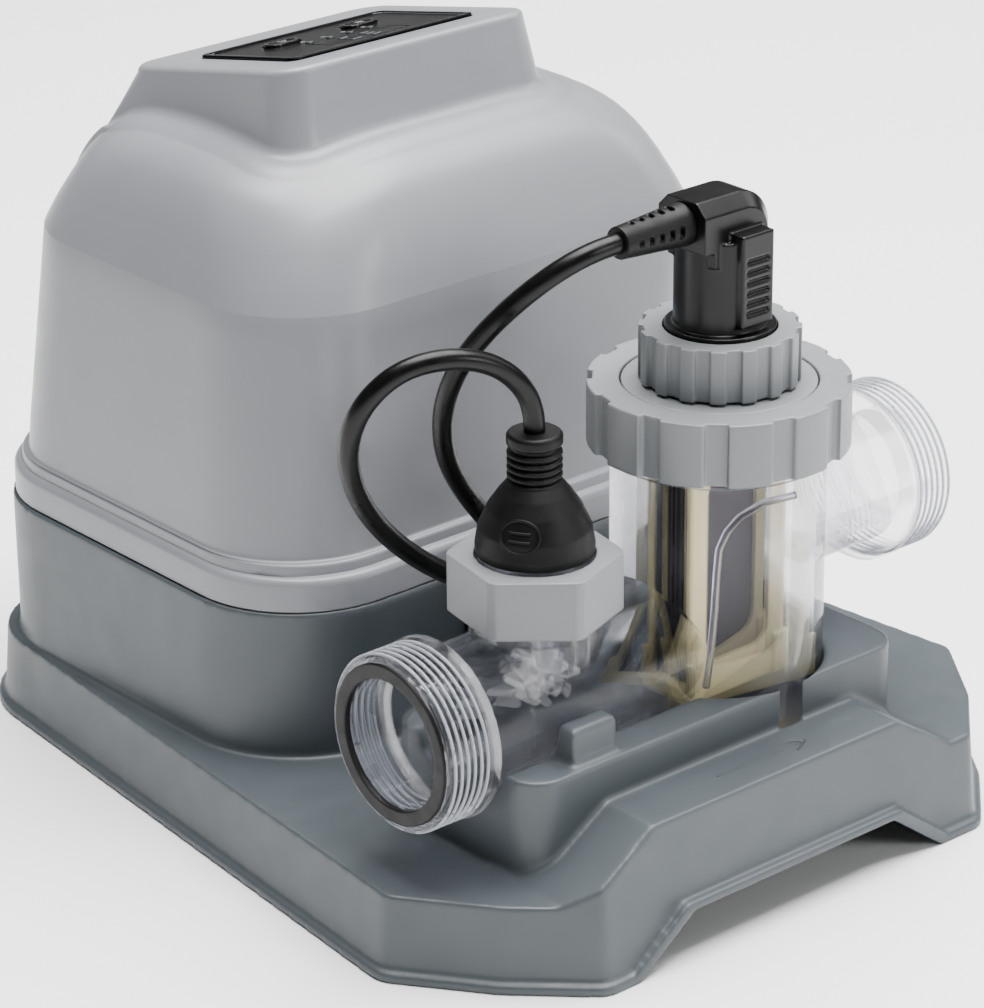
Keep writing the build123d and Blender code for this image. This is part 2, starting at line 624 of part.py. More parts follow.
for side in (-1, 1):
    nodes["cell_frame"] -= post(pin_radius, cap_underside - 6, cap_underside + 1, cell_x + side * pin_spread, pipe_y)
nodes["cell_terminals"] = Compound(pins)

collar = lobed(collar_root, collar_radius, collar_lobes, 0.66, collar_bottom, collar_top, cell_x, pipe_y)
collar -= post(neck_radius + nut_gap, collar_bottom - 1, cap_ledge + 0.1, cell_x, pipe_y)
collar -= post(cap_disc_radius + nut_gap, collar_bottom, collar_top + 1, cell_x, pipe_y)
nodes["collar_nut"] = collar

plug_nut_low = collar_top + 0.4
plug_nut_top = plug_nut_low + plug_nut_height + 1.3
flange_top = plug_seat + 3.0
plug_nut = lobed(plug_nut_root, plug_nut_radius, plug_nut_ribs, 0.5, plug_nut_low, plug_nut_top, cell_x, pipe_y)
plug_nut -= post(cap_neck_radius + nut_gap, plug_nut_low - 1, flange_top + 0.2, cell_x, pipe_y)
plug_nut -= post(plug_collar_radius + nut_gap, plug_nut_low, plug_nut_top + 1, cell_x, pipe_y)
nodes["plug_nut"] = plug_nut

# ==== plug =================================================================================
plug = post(socket_radius - 0.3, collar_top + 3, plug_seat, cell_x, pipe_y)
plug += post(plug_flange_radius, plug_seat, flange_top, cell_x, pipe_y)
plug += post(plug_collar_radius, flange_top, plug_nut_top + 1.2, cell_x, pipe_y)
plug += post(barrel_radius, plug_nut_top + 1.2, arm_height - 6, cell_x, pipe_y)
elbow_side = cell_x + barrel_radius - 1.0
elbow_outline = Polyline(
    (relief_start, arm_height - arm_half), (relief_start, plug_top), (elbow_side, plug_top),
    (elbow_side, arm_height - elbow_drop), (cell_x - barrel_radius + 2.0, arm_height - elbow_drop),
    (cell_x - barrel_radius + 2.0, arm_height - arm_half), close=True,
)
elbow = Pos(0, pipe_y, 0) * extrude(Plane.XZ * make_face(elbow_outline), elbow_half_width, both=True)
bend = elbow.edges().filter_by(Axis.Y).group_by(Axis.Z)[-1].sort_by(Axis.X)[-1]
elbow = fillet(bend, elbow_bend)
top_rim = elbow.edges().filter_by(Axis.X).group_by(Axis.Z)[-1]
elbow = chamfer(top_rim, elbow_chamfer)
grip = block(cell_x - 7, cell_x + 7, pipe_y - barrel_radius - 1.8, pipe_y, plug_nut_top + 4, arm_height - 3)
for i in range(6):
    groove_z = plug_nut_top + 8 + i * 3.6
    grip -= block(cell_x - 5, cell_x + 5, pipe_y - barrel_radius - 3, pipe_y - barrel_radius - 0.7,
                  groove_z, groove_z + 1.5)
plug += elbow + grip
for side in (-1, 1):
    plug -= post(pin_radius + 0.2, collar_top, collar_top + 10, cell_x + side * pin_spread, pipe_y)
nodes["cell_plug"] = plug

relief = Pos(relief_end, pipe_y, arm_height) * Rot(0, 90, 0) * Cone(
    5.4, 7.4, relief_start - relief_end, align=(Align.CENTER, Align.CENTER, Align.MIN))
for i in range(5):
    slot_x = relief_end + 5.5 + i * 4.2
    for turn in (0, 90):
        cut = Box(1.8, 20, 20) - Box(3, 6.0, 30) - Box(3, 30, 6.0)
        relief -= Pos(slot_x, pipe_y, arm_height) * Rot(45, 0, 0) * (
            cut - Rot(0, 90, 0) * Cylinder(4.4, 5))
nodes["plug_strain_relief"] = relief

# ==== flow sensor ==========================================================================
seat_z = port_rim + 0.2
sensor_body = post(port_radius - 0.6, seat_z, seat_z + 4.5, sensor_x, pipe_y)
sensor_body += post(stem_radius, inlet_z + 22, seat_z, sensor_x, pipe_y)
sensor_body += post(19.2, seat_z + 4.5, boot_bottom, sensor_x, pipe_y)
sensor_body -= post(stem_radius - 2.6, 0, port_rim - 4, sensor_x, pipe_y)
fork_y = paddle_width / 2 + 0.8
for side in (-1, 1):
    low, high = sorted((pipe_y + side * fork_y, pipe_y + side * (fork_y + fork_thick)))
    prong = block(sensor_x - 4.5, sensor_x + 4.5, low, high, paddle_z, port_rim - 2)
    prong += Pos(sensor_x, (low + high) / 2, paddle_z) * Rot(90, 0, 0) * Cylinder(4.5, fork_thick)
    sensor_body += prong
axle_half = fork_y + fork_thick
sensor_body -= Pos(sensor_x, pipe_y, paddle_z) * Rot(90, 0, 0) * Cylinder(axle_radius, 2 * axle_half + 1)
ring_z = seat_z - 8.0
sensor_body -= post(port_bore + 1, ring_z - 1.3, ring_z + 1.3, sensor_x, pipe_y) - post(
    port_bore - 2.4, ring_z - 2, ring_z + 2, sensor_x, pipe_y)
nodes["sensor_body"] = sensor_body
nodes["sensor_o_ring"] = Pos(sensor_x, pipe_y, ring_z) * Torus(port_bore - 1.25, 1.1)
nodes["paddle_axle"] = Pos(sensor_x, pipe_y, paddle_z) * Rot(90, 0, 0) * Cylinder(axle_radius, 2 * axle_half)

blade_thick = 1.4
wheel = Cylinder(3.4, paddle_width)
for i in range(paddle_blades):
    blade = Pos(paddle_radius / 2, 0, 0) * Box(paddle_radius, blade_thick, paddle_width)
    tip = Pos(paddle_radius - 0.8, 1.2, 0) * Rot(0, 0, 40) * Box(1.4, 3.6, paddle_width)
    wheel += Rot(0, 0, i * 360.0 / paddle_blades) * (blade + (tip & Cylinder(paddle_radius, 50)))
wheel = wheel & Cylinder(paddle_radius, paddle_width)
wheel -= Cylinder(axle_radius + axle_gap, paddle_width + 2)
nodes["paddle_wheel"] = Pos(sensor_x, pipe_y, paddle_z) * Rot(90, 0, 0) * wheel

hexagon = RegularPolygon(sensor_nut_radius + 0.8, 6) & Circle(sensor_nut_radius)
sensor_nut = Pos(sensor_x, pipe_y, sensor_nut_bottom) * Rot(0, 0, sensor_nut_turn) * extrude(
    hexagon, sensor_nut_top - sensor_nut_bottom)
nut_lip = seat_z + 4.5 + 0.2
sensor_nut -= post(port_radius + nut_gap, 0, nut_lip, sensor_x, pipe_y)
sensor_nut -= post(19.2 + 0.6, 0, 200, sensor_x, pipe_y)
nodes["sensor_nut"] = sensor_nut

boot_profile = [
    (0, boot_bottom), (19.4, boot_bottom), (19.6, boot_bottom + 3), (18.6, boot_bottom + 9),
    (15.4, boot_bottom + 16), (12.0, boot_bottom + 21), (9.6, neck_low),
]
for rib in range(neck_ribs):
    rib_low = neck_low + rib * neck_pitch
    boot_profile += [(9.2, rib_low), (9.0, rib_low + neck_pitch * 0.5), (7.6, rib_low + neck_pitch * 0.5),
                     (7.6, rib_low + neck_pitch)]
boot_profile += [
    (7.6, boot_top - 4.5), (9.2, boot_top - 4.0), (9.2, boot_top - 1.0), (8.4, boot_top), (0, boot_top),
]
nodes["sensor_boot"] = turned(boot_profile, sensor_x, pipe_y)


# ==== cords and glands =====================================================================
def cord(route, name):
    """Round lead along straight runs joined by tangent arcs; prints its radii."""
    points = [Vector(*point) for point in route]
    radii = []
    for before, corner, after in zip(points, points[1:], points[2:]):
        first, second = corner - before, after - corner
        turn = first.get_angle(second)
        radii.append(0.45 * min(first.length, second.length) / tan(radians(turn / 2)))
    path = FilletPolyline(*points, radius=radii)
    start = Plane(origin=points[0], z_dir=points[1] - points[0])
    solid = sweep(start * Circle(cord_radius), path=path)
    share = solid.volume / (Circle(cord_radius).area * path.length)
    print(name, "length", round(path.length, 1), "volume share", round(share, 3),
          "radii", [round(radius, 1) for radius in radii])
    return solid


def gland(x, y_wall, z, way):
    """Moulded gland in a wall; the lead enters its outer end."""
    body = Rot(90 * way, 0, 0) * Cylinder(
        gland_radius, 3.0, align=(Align.CENTER, Align.CENTER, Align.MIN))
    body += Rot(90 * way, 0, 0) * Cone(
        gland_radius - 1.5, gland_tip_radius, gland_length, align=(Align.CENTER, Align.CENTER, Align.MIN))
    body += Rot(-90 * way, 0, 0) * Cylinder(
        gland_radius - 2.2, shell_wall + 2, align=(Align.CENTER, Align.CENTER, Align.MIN))
    body += Pos(0, way * (shell_wall + 1.5), 0) * Rot(-90 * way, 0, 0) * Cylinder(
        gland_radius, 2.0, align=(Align.CENTER, Align.CENTER, Align.MIN))
    return Pos(x, y_wall, z) * body


nodes["sensor_cord_gland"] = gland(sensor_gland_x, box_front_y, gland_z, 1)
nodes["cell_cord_gland"] = gland(cell_gland_x, box_front_y, gland_z, 1)
nodes["mains_gland"] = gland(mains_x, box_back_y, mains_z, -1)
gland_end_y = box_front_y - gland_length
nodes["sensor_cord"] = cord(sensor_route + [(sensor_gland_x, gland_end_y, gland_z)], "sensor_cord")
nodes["cell_cord"] = cord(cell_route + [(cell_gland_x, gland_end_y, gland_z)], "cell_cord")

os.makedirs("parts", exist_ok=True)
for name, shape in nodes.items():
    export_step(shape, f"parts/{name}.step")
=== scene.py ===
import logging
import math
from dataclasses import dataclass, field
from enum import Enum
from typing import Callable, Sequence

import bmesh
import bpy
from mathutils import Matrix, Quaternion, Vector


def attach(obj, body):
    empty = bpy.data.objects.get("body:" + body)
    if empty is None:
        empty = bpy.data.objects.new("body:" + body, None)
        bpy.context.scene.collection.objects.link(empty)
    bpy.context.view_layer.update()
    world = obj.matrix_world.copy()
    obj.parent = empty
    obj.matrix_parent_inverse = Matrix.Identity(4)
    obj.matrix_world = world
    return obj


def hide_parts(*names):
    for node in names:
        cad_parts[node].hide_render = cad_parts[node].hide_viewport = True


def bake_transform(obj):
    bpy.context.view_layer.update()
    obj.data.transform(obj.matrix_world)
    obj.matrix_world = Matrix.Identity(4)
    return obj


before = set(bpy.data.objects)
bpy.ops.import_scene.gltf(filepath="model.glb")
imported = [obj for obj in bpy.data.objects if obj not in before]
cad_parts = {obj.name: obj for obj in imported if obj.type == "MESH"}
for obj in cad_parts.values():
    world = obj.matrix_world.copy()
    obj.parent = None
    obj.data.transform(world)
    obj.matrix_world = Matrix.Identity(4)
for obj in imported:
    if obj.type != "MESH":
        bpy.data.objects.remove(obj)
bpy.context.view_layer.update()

MM = 0.001
Colour = tuple[float, float, float]
Point = tuple[float, float, float]
log = logging.getLogger("generator")


class Body(Enum):
    """Moving bodies of the generator."""

    ROOT = "root"
    POWER_BUTTON = "power_button"
    BOOST_BUTTON = "boost_button"
    CELL = "cell"
    COLLAR_NUT = "collar_nut"
    PLUG_NUT = "plug_nut"
    SENSOR = "sensor"
    SENSOR_NUT = "sensor_nut"
    PADDLE = "paddle"


# ---- node graphs ---------------------------------------------------------------------------


class Graph:
    """Small builder for a material's node tree."""

    def __init__(self, name: str) -> None:
        """Start an empty tree with a principled shader.

        Args:
            name: Name of the material.
        """
        self.material = bpy.data.materials.new(name)
        self.material.use_nodes = True
        self.tree = self.material.node_tree
        self.shader = self.tree.nodes["Principled BSDF"]
        self.place = self.tree.nodes.new("ShaderNodeTexCoord").outputs["Object"]

    def node(self, kind: str, **values: object) -> bpy.types.Node:
        """Add a node and set its sockets or properties.

        Args:
            kind: Type name of the node.
            **values: Socket names, with underscores for spaces, or properties.

        Returns:
            The new node.
        """
        made = self.tree.nodes.new(kind)
        for key, value in values.items():
            socket = made.inputs.get(key.replace("_", " "))
            if socket is None:
                setattr(made, key, value)
            elif isinstance(value, bpy.types.NodeSocket):
                self.tree.links.new(value, socket)
            else:
                socket.default_value = value
        return made

    def link(self, output: bpy.types.NodeSocket, socket: str) -> None:
        """Feed an output into a socket of the shader."""
        self.tree.links.new(output, self.shader.inputs[socket])

    def constant(self, **values: object) -> None:
        """Set sockets of the shader to fixed values."""
        for key, value in values.items():
            self.shader.inputs[key.replace("_", " ")].default_value = value

    def noise(self, size_mm: float, detail: float = 3.0) -> bpy.types.NodeSocket:
        """Noise of a given feature size.

        Args:
            size_mm: Size of its features in millimetres.
            detail: Octaves.

        Returns:
            The noise's value from 0 to 1.
        """
        return self.node("ShaderNodeTexNoise", Vector=self.place, Scale=1 / (size_mm * MM),
                         Detail=detail).outputs["Fac"]

    def blend_colour(self, factor: bpy.types.NodeSocket, low: Colour, high: Colour) -> bpy.types.NodeSocket:
        """Colour that runs from low to high with a factor between 0.3 and 0.7."""
        ramp = self.node("ShaderNodeValToRGB", Fac=factor)
        ramp.color_ramp.elements[0].position = 0.3
        ramp.color_ramp.elements[1].position = 0.7
        ramp.color_ramp.elements[0].color = (*low, 1)
        ramp.color_ramp.elements[1].color = (*high, 1)
        return ramp.outputs["Color"]

    def spread(self, factor: bpy.types.NodeSocket, low: float, high: float) -> bpy.types.NodeSocket:
        """Value between low and high, driven by a factor."""
        ranged = self.node("ShaderNodeMapRange", Value=factor)
        ranged.inputs["From Min"].default_value = 0.25
        ranged.inputs["From Max"].default_value = 0.75
        ranged.inputs["To Min"].default_value = low
        ranged.inputs["To Max"].default_value = high
        return ranged.outputs["Result"]

    def bump(self, height: bpy.types.NodeSocket, depth_mm: float, strength: float) -> None:
        """Raise the surface by a height field.

        Args:
            height: Height from 0 to 1.
            depth_mm: Its depth in millimetres.
            strength: Strength of the bump.
        """
        raised = self.node("ShaderNodeBump", Height=height, Distance=depth_mm * MM, Strength=strength)
        self.link(raised.outputs["Normal"], "Normal")


def scaled(colour: Colour, factor: float) -> Colour:
    """Colour made lighter or darker by a factor."""
    return tuple(min(1.0, channel * factor) for channel in colour)


def srgb(red: int, green: int, blue: int) -> Colour:
    """Linear colour of three 8-bit display values."""
    def linear(value: float) -> float:
        """Linear share of one display value."""
        share = value / 255
        return share / 12.92 if share <= 0.04045 else ((share + 0.055) / 1.055) ** 2.4
    return linear(red), linear(green), linear(blue)


@dataclass(frozen=True)
class MouldedPlastic:
    """Injection-moulded plastic: spark-eroded grain, faint flow clouds and a painted highlight along sharp
    edges.
    """

    name: str
    slot: str
    colour: Colour
    roughness: float = 0.42
    cloud: float = 0.05
    grain_mm: float = 0.7
    grain_depth_mm: float = 0.03
    grain_strength: float = 0.25
    # edge: factor for the painted highlight that lightens sharp convex edges.
    edge: float = 1.15
    coat: float = 0.0
    specular: float = 0.5

    def make(self) -> bpy.types.Material:
        """Build the material.

        Returns:
            The finished material.
        """
        graph = Graph(self.name)
        cloud = graph.blend_colour(graph.noise(35.0), scaled(self.colour, 1 - self.cloud),
                                   scaled(self.colour, 1 + self.cloud))
        # Painted highlight: sharp convex edges, found by pointiness, get the colour lightened by the factor
        # edge.
        edge_highlight_mix = graph.node("ShaderNodeMix", data_type="RGBA")
        pointed = graph.node("ShaderNodeNewGeometry").outputs["Pointiness"]
        edge = graph.node("ShaderNodeMapRange", Value=pointed)
        edge.inputs["From Min"].default_value = 0.52
        edge.inputs["From Max"].default_value = 0.62
        graph.tree.links.new(edge.outputs["Result"], edge_highlight_mix.inputs[0])
        graph.tree.links.new(cloud, edge_highlight_mix.inputs[6])
        edge_highlight_mix.inputs[7].default_value = (*scaled(self.colour, self.edge), 1)
        graph.link(edge_highlight_mix.outputs[2], "Base Color")
        grain = graph.noise(self.grain_mm, 2.0)
        graph.link(graph.spread(graph.noise(12.0), self.roughness - 0.05, self.roughness + 0.05), "Roughness")
        graph.bump(grain, self.grain_depth_mm, self.grain_strength)
        graph.constant(IOR=1.5, Specular_IOR_Level=self.specular, Coat_Weight=self.coat, Coat_Roughness=0.12)
        return graph.material


@dataclass(frozen=True)
class ClearPlastic:
    """Clear polycarbonate with a faint tint and slight moulding ripple."""

    name: str
    slot: str
    colour: Colour
    roughness: float = 0.03
    ior: float = 1.25
    ripple_mm: float = 14.0
    transmission: float = 1.0
    alpha: float = 0.55

    def make(self) -> bpy.types.Material:
        """Build the material.

        Returns:
            The finished material.
        """
        graph = Graph(self.name)
        tint = graph.blend_colour(graph.noise(22.0), scaled(self.colour, 0.97), self.colour)
        graph.link(tint, "Base Color")
        graph.link(graph.spread(graph.noise(9.0), self.roughness * 0.6, self.roughness * 1.5), "Roughness")
        graph.bump(graph.noise(self.ripple_mm, 1.0), 0.15, 0.12)
        graph.constant(Transmission_Weight=self.transmission, IOR=self.ior, Alpha=self.alpha)
        return graph.material


@dataclass(frozen=True)
class SoftRubber:
    """Matt rubber or soft vinyl with a dusty bloom."""

    name: str
    slot: str
    colour: Colour
    roughness: float = 0.55
    bloom: float = 0.25
    sheen: float = 0.15
    specular: float = 0.25

    def make(self) -> bpy.types.Material:
        """Build the material.

        Returns:
            The finished material.
        """
        graph = Graph(self.name)
        dusty = graph.blend_colour(graph.noise(9.0, 5.0), self.colour, scaled(self.colour, 1 + self.bloom))
        graph.link(dusty, "Base Color")
        graph.link(graph.spread(graph.noise(5.0), self.roughness - 0.08, self.roughness + 0.08), "Roughness")
        graph.bump(graph.noise(0.5, 2.0), 0.03, 0.3)
        graph.constant(Sheen_Weight=self.sheen, Sheen_Roughness=0.5, IOR=1.45,
                       Specular_IOR_Level=self.specular)
        return graph.material


@dataclass(frozen=True)
class BareMetal:
    """Metal with fine drawn lines along one axis."""

    name: str
    slot: str
    colour: Colour
    roughness: float = 0.38
    metallic: float = 1.0
    stretch: Point = (1.0, 1.0, 12.0)

    def make(self) -> bpy.types.Material:
        """Build the material.

        Returns:
            The finished material.
        """
        graph = Graph(self.name)
        mapping = graph.node("ShaderNodeMapping", Vector=graph.place)
        mapping.inputs["Scale"].default_value = self.stretch
        lines = graph.node("ShaderNodeTexNoise", Vector=mapping.outputs["Vector"], Scale=900.0,
                           Detail=4.0).outputs["Fac"]
        drawn = graph.blend_colour(lines, scaled(self.colour, 0.82), scaled(self.colour, 1.1))
        graph.link(drawn, "Base Color")
        graph.link(graph.spread(lines, self.roughness - 0.08, self.roughness + 0.1), "Roughness")
        graph.bump(lines, 0.02, 0.25)
        graph.constant(Metallic=self.metallic)
        return graph.material


@dataclass(frozen=True)
class BoardLaminate:
    """Solder-masked circuit board with copper showing faintly through."""

    name: str
    slot: str
    colour: Colour

    def make(self) -> bpy.types.Material:
        """Build the material.

        Returns:
            The finished material.
        """
        graph = Graph(self.name)
        tracks = graph.node("ShaderNodeTexBrick", Vector=graph.place, Scale=260.0).outputs["Fac"]
        graph.link(graph.blend_colour(tracks, self.colour, scaled(self.colour, 1.6)), "Base Color")
        graph.bump(tracks, 0.05, 0.4)
        graph.constant(Roughness=0.35)
        return graph.material


@dataclass(frozen=True)
class Lamp:
    """Faintly lit segment or lens."""

    name: str
    slot: str
    colour: Colour
    glow: float = 0.6

    def make(self) -> bpy.types.Material:
        """Build the material.

        Returns:
            The finished material.
        """
        graph = Graph(self.name)
        graph.link(graph.blend_colour(graph.noise(1.5), scaled(self.colour, 0.85), self.colour), "Base Color")
        graph.constant(Roughness=0.25, Emission_Color=(*self.colour, 1), Emission_Strength=self.glow)
        return graph.material


Finish = MouldedPlastic | ClearPlastic | SoftRubber | BareMetal | BoardLaminate | Lamp


@dataclass
class Paintbox:
    """Every finish of the generator, each made once."""

    made: dict[str, bpy.types.Material] = field(default_factory=dict)

    # The edge factors of the moulded finishes set their painted highlight on sharp edges.
    base = MouldedPlastic("base_slate", "base_plastic", srgb(62, 68, 72), 0.45)
    cover = MouldedPlastic("cover_grey", "cover_plastic", srgb(121, 123, 127), 0.34, 0.02, grain_strength=0.1)
    nut = MouldedPlastic("nut_grey", "nut_plastic", srgb(116, 119, 121), 0.42, 0.03, grain_strength=0.15)
    black = MouldedPlastic("plug_black", "black_plastic", srgb(6, 6, 6), 0.32, 0.12, edge=1.6, specular=0.28)
    panel = MouldedPlastic("panel_black", "panel_black", srgb(5, 5, 6), 0.2, 0.1, 0.4, 0.01, 0.05, 1.3,
                           specular=0.08)
    glass = MouldedPlastic("display_smoke", "panel_black", srgb(4, 4, 5), 0.12, 0.1, 0.4, 0.01, 0.03, 1.1,
                           specular=0.28)
    button = MouldedPlastic("button_grey", "button_grey", srgb(9, 9, 10), 0.25, 0.05, specular=0.3)
    clear = ClearPlastic("clear_polycarbonate", "clear_polycarbonate", srgb(240, 240, 248))
    frost = ClearPlastic("thread_frost", "clear_polycarbonate", srgb(205, 207, 214), 0.3, 1.35, 6.0,
                         transmission=0.5, alpha=0.85)
    clear_edge = ClearPlastic("clear_edge", "clear_polycarbonate", srgb(176, 175, 196), 0.05, 1.45,
                              alpha=0.85)
    # Painted shade: the flow arrow's engraved groove is drawn in a darker copy of the base plastic.
    engraving_shade = MouldedPlastic("base_engraving_shade", "base_plastic", srgb(40, 45, 48), 0.5)
    cream = MouldedPlastic("frame_cream", "cream_plastic", srgb(242, 228, 168), 0.4, 0.03)
    white = MouldedPlastic("paddle_white", "white_plastic", srgb(240, 240, 236), 0.35, 0.02, coat=0.2)
    plate = BareMetal("electrode_coating", "titanium_plate", srgb(60, 57, 60), 0.5, 0.6)
    steel = BareMetal("bright_steel", "bare_steel", srgb(190, 190, 190), 0.3)
    sink = BareMetal("extruded_aluminium", "heat_sink_metal", srgb(196, 198, 200), 0.35)
    copper = BareMetal("enamelled_copper", "copper_winding", srgb(176, 104, 58), 0.35, stretch=(1, 12, 1))
    rubber = SoftRubber("seal_rubber", "black_rubber", srgb(4, 4, 4), 0.5, sheen=0.0)
    cord = SoftRubber("cord_vinyl", "cord_rubber", srgb(4, 4, 4), 0.33, 0.2, 0.0)
    board = BoardLaminate("board_green", "circuit_board", srgb(31, 90, 58))
    lens = Lamp("lens_green", "white_plastic", srgb(52, 56, 57), 0.02)
    digit = Lamp("digit_teal", "white_plastic", srgb(48, 52, 54), 0.02)
    print_grey = MouldedPlastic("print_grey", "white_plastic", srgb(104, 106, 108), 0.5, 0.02, specular=0.2)

    def get(self, finish: Finish) -> bpy.types.Material:
        """Material of a finish, made the first time it is asked for."""
        if finish.name not in self.made:
            self.made[finish.name] = finish.make()
        return self.made[finish.name]


paint = Paintbox()


# ---- pieces --------------------------------------------------------------------------------


def link(name: str, data: bpy.types.ID) -> bpy.types.Object:
    """New object in the scene from its data."""
    made = bpy.data.objects.new(name, data)
    bpy.context.scene.collection.objects.link(made)
    return made


def place(piece: bpy.types.Object, finish: Finish, body: Body, *nodes: str) -> bpy.types.Object:
    """Paint a piece, make it ride on its body and hide the CAD nodes that it stands for.

    Args:
        piece: The piece, in the row frame.
        finish: Its finish.
        body: Body that it rides on.
        *nodes: CAD nodes that it replaces.

    Returns:
        The piece.
    """
    piece.data.materials.clear()
    piece.data.materials.append(paint.get(finish))
    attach(piece, body.value)
    if nodes:
        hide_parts(*nodes)
    log.info("%s: %d faces on %s", piece.name, len(getattr(piece.data, "polygons", ())), body.value)
    return piece


def dress(finish: Finish, *nodes: str) -> None:
    """Give CAD nodes a better finish.

    Args:
        finish: The finish.
        *nodes: Names of the nodes.
    """
    for name in nodes:
        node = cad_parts[name]
        if not node.material_slots:
            node.data.materials.append(None)
        for held in node.material_slots:
            held.material = paint.get(finish)
        log.info("%s dressed in %s", name, finish.name)


def settle(piece: bpy.types.Object) -> bpy.types.Mesh:
    """Apply a piece's modifiers.

    Args:
        piece: Object with modifiers.

    Returns:
        Its final mesh.
    """
    bpy.context.view_layer.update()
    shown = piece.evaluated_get(bpy.context.evaluated_depsgraph_get())
    mesh = bpy.data.meshes.new_from_object(shown)
    piece.modifiers.clear()
    piece.data = mesh
    return mesh


def eased(node: str, voxel_mm: float, passes: int = 3) -> bpy.types.Object:
    """Copy of a CAD node's form with the soft edges of a moulding.

    Args:
        node: The CAD node.
        voxel_mm: Size of the new mesh's cells, which sets how round its edges are.
        passes: Rounds of smoothing.

    Returns:
        A new object in the row frame.
    """
    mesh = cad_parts[node].data.copy()
    form = bmesh.new()
    form.from_mesh(mesh)
    bmesh.ops.remove_doubles(form, verts=form.verts, dist=0.002 * MM)
    form.to_mesh(mesh)
    form.free()
    piece = link(f"{node}_moulded", mesh)
    cells = piece.modifiers.new("cells", "REMESH")
    cells.mode = "VOXEL"
    cells.voxel_size = voxel_mm * MM
    ease = piece.modifiers.new("ease", "SMOOTH")
    ease.factor = 0.5
    ease.iterations = passes
    settle(piece).shade_smooth()
    return piece


def skin(name: str, rings: Sequence[Sequence[Vector]], loop: bool = False,
         angle: float = 40.0) -> bpy.types.Object:
    """Mesh over a stack of rings with the same number of points.

    Args:
        name: Name of the piece.
        rings: Rings of points in millimetres, each a closed loop.
        loop: Join the last ring to the first; otherwise both ends are capped.
        angle: Edges sharper than this, in degrees, stay crisp.

    Returns:
        The new object.
    """
    form = bmesh.new()
    rows = [[form.verts.new(Vector(point) * MM) for point in ring] for ring in rings]
    count = len(rows[0])
    pairs = list(zip(rows, rows[1:])) + ([(rows[-1], rows[0])] if loop else [])
    for low, high in pairs:
        for i in range(count):
            j = (i + 1) % count
            form.faces.new((low[i], low[j], high[j], high[i]))
    if not loop:
        form.faces.new(rows[0][::-1])
        form.faces.new(rows[-1])
    bmesh.ops.recalc_face_normals(form, faces=form.faces)
    mesh = bpy.data.meshes.new(name)
    form.to_mesh(mesh)
    form.free()
    mesh.shade_smooth()
    mesh.set_sharp_from_angle(angle=math.radians(angle))
    return link(name, mesh)


def rounded_plan(half_x: float, half_y: float, corner: float, corner_steps: int = 14,
                 side_steps: int = 10, right: float | None = None) -> list[tuple[float, float]]:
    """Rounded rectangle about the origin, anticlockwise from its right side.

    Args:
        half_x: Half its width.
        half_y: Half its depth.
        corner: Corner radius.
        corner_steps: Points round each corner.
        side_steps: Points along each side.
        right: Radius of the two corners on the right, where it differs.

    Returns:
        Its points.
    """
    most = min(half_x, half_y) - 0.01
    radii = [min(most, max(0.2, corner if right is None or side < 0 else right)) for side in (1, -1, -1, 1)]
    signs = ((1, 1), (-1, 1), (-1, -1), (1, -1))
    arcs = []
    for quarter, (radius, (sign_x, sign_y)) in enumerate(zip(radii, signs)):
        middle = (sign_x * (half_x - radius), sign_y * (half_y - radius))
        arcs.append([(middle[0] + radius * math.cos(math.pi / 2 * (quarter + i / corner_steps)),
                      middle[1] + radius * math.sin(math.pi / 2 * (quarter + i / corner_steps)))
                     for i in range(corner_steps + 1)])
    plan: list[tuple[float, float]] = []
    for arc, after in zip(arcs, arcs[1:] + arcs[:1]):
        plan += arc
        for i in range(1, side_steps):
            share = i / side_steps
            plan.append((arc[-1][0] + (after[0][0] - arc[-1][0]) * share,
                         arc[-1][1] + (after[0][1] - arc[-1][1]) * share))
    return plan


def curve_mesh(name: str, curve: bpy.types.Curve) -> bpy.types.Mesh:
    """Mesh of a curve, which is thrown away.

    Args:
        name: Name of the holder that it hangs on meanwhile.
        curve: The curve.

    Returns:
        Its mesh.
    """
    holder = link(name + "_line", curve)
    bpy.context.view_layer.update()
    mesh = bpy.data.meshes.new_from_object(holder.evaluated_get(bpy.context.evaluated_depsgraph_get()))
    bpy.data.objects.remove(holder)
    return mesh


def tube(name: str, spots: Sequence[Sequence[float]], radius: float, closed: bool = False) -> bpy.types.Mesh:
    """Round bar along a line of points.

    Args:
        name: Name of the mesh.
        spots: Points in millimetres.
        radius: Its radius in millimetres.
        closed: Join its ends.

    Returns:
        Its mesh.
    """
    curve = bpy.data.curves.new(name, "CURVE")
    curve.dimensions = "3D"
    line = curve.splines.new("POLY")
    line.points.add(len(spots) - 1)
    for point, spot in zip(line.points, spots):
        point.co = (*(Vector(spot) * MM), 1.0)
    line.use_cyclic_u = closed
    curve.bevel_depth = radius * MM
    curve.bevel_resolution = 3
    curve.use_fill_caps = True
    mesh = curve_mesh(name, curve)
    mesh.name = name
    mesh.shade_smooth()
    return mesh


# ---- studio --------------------------------------------------------------------------------


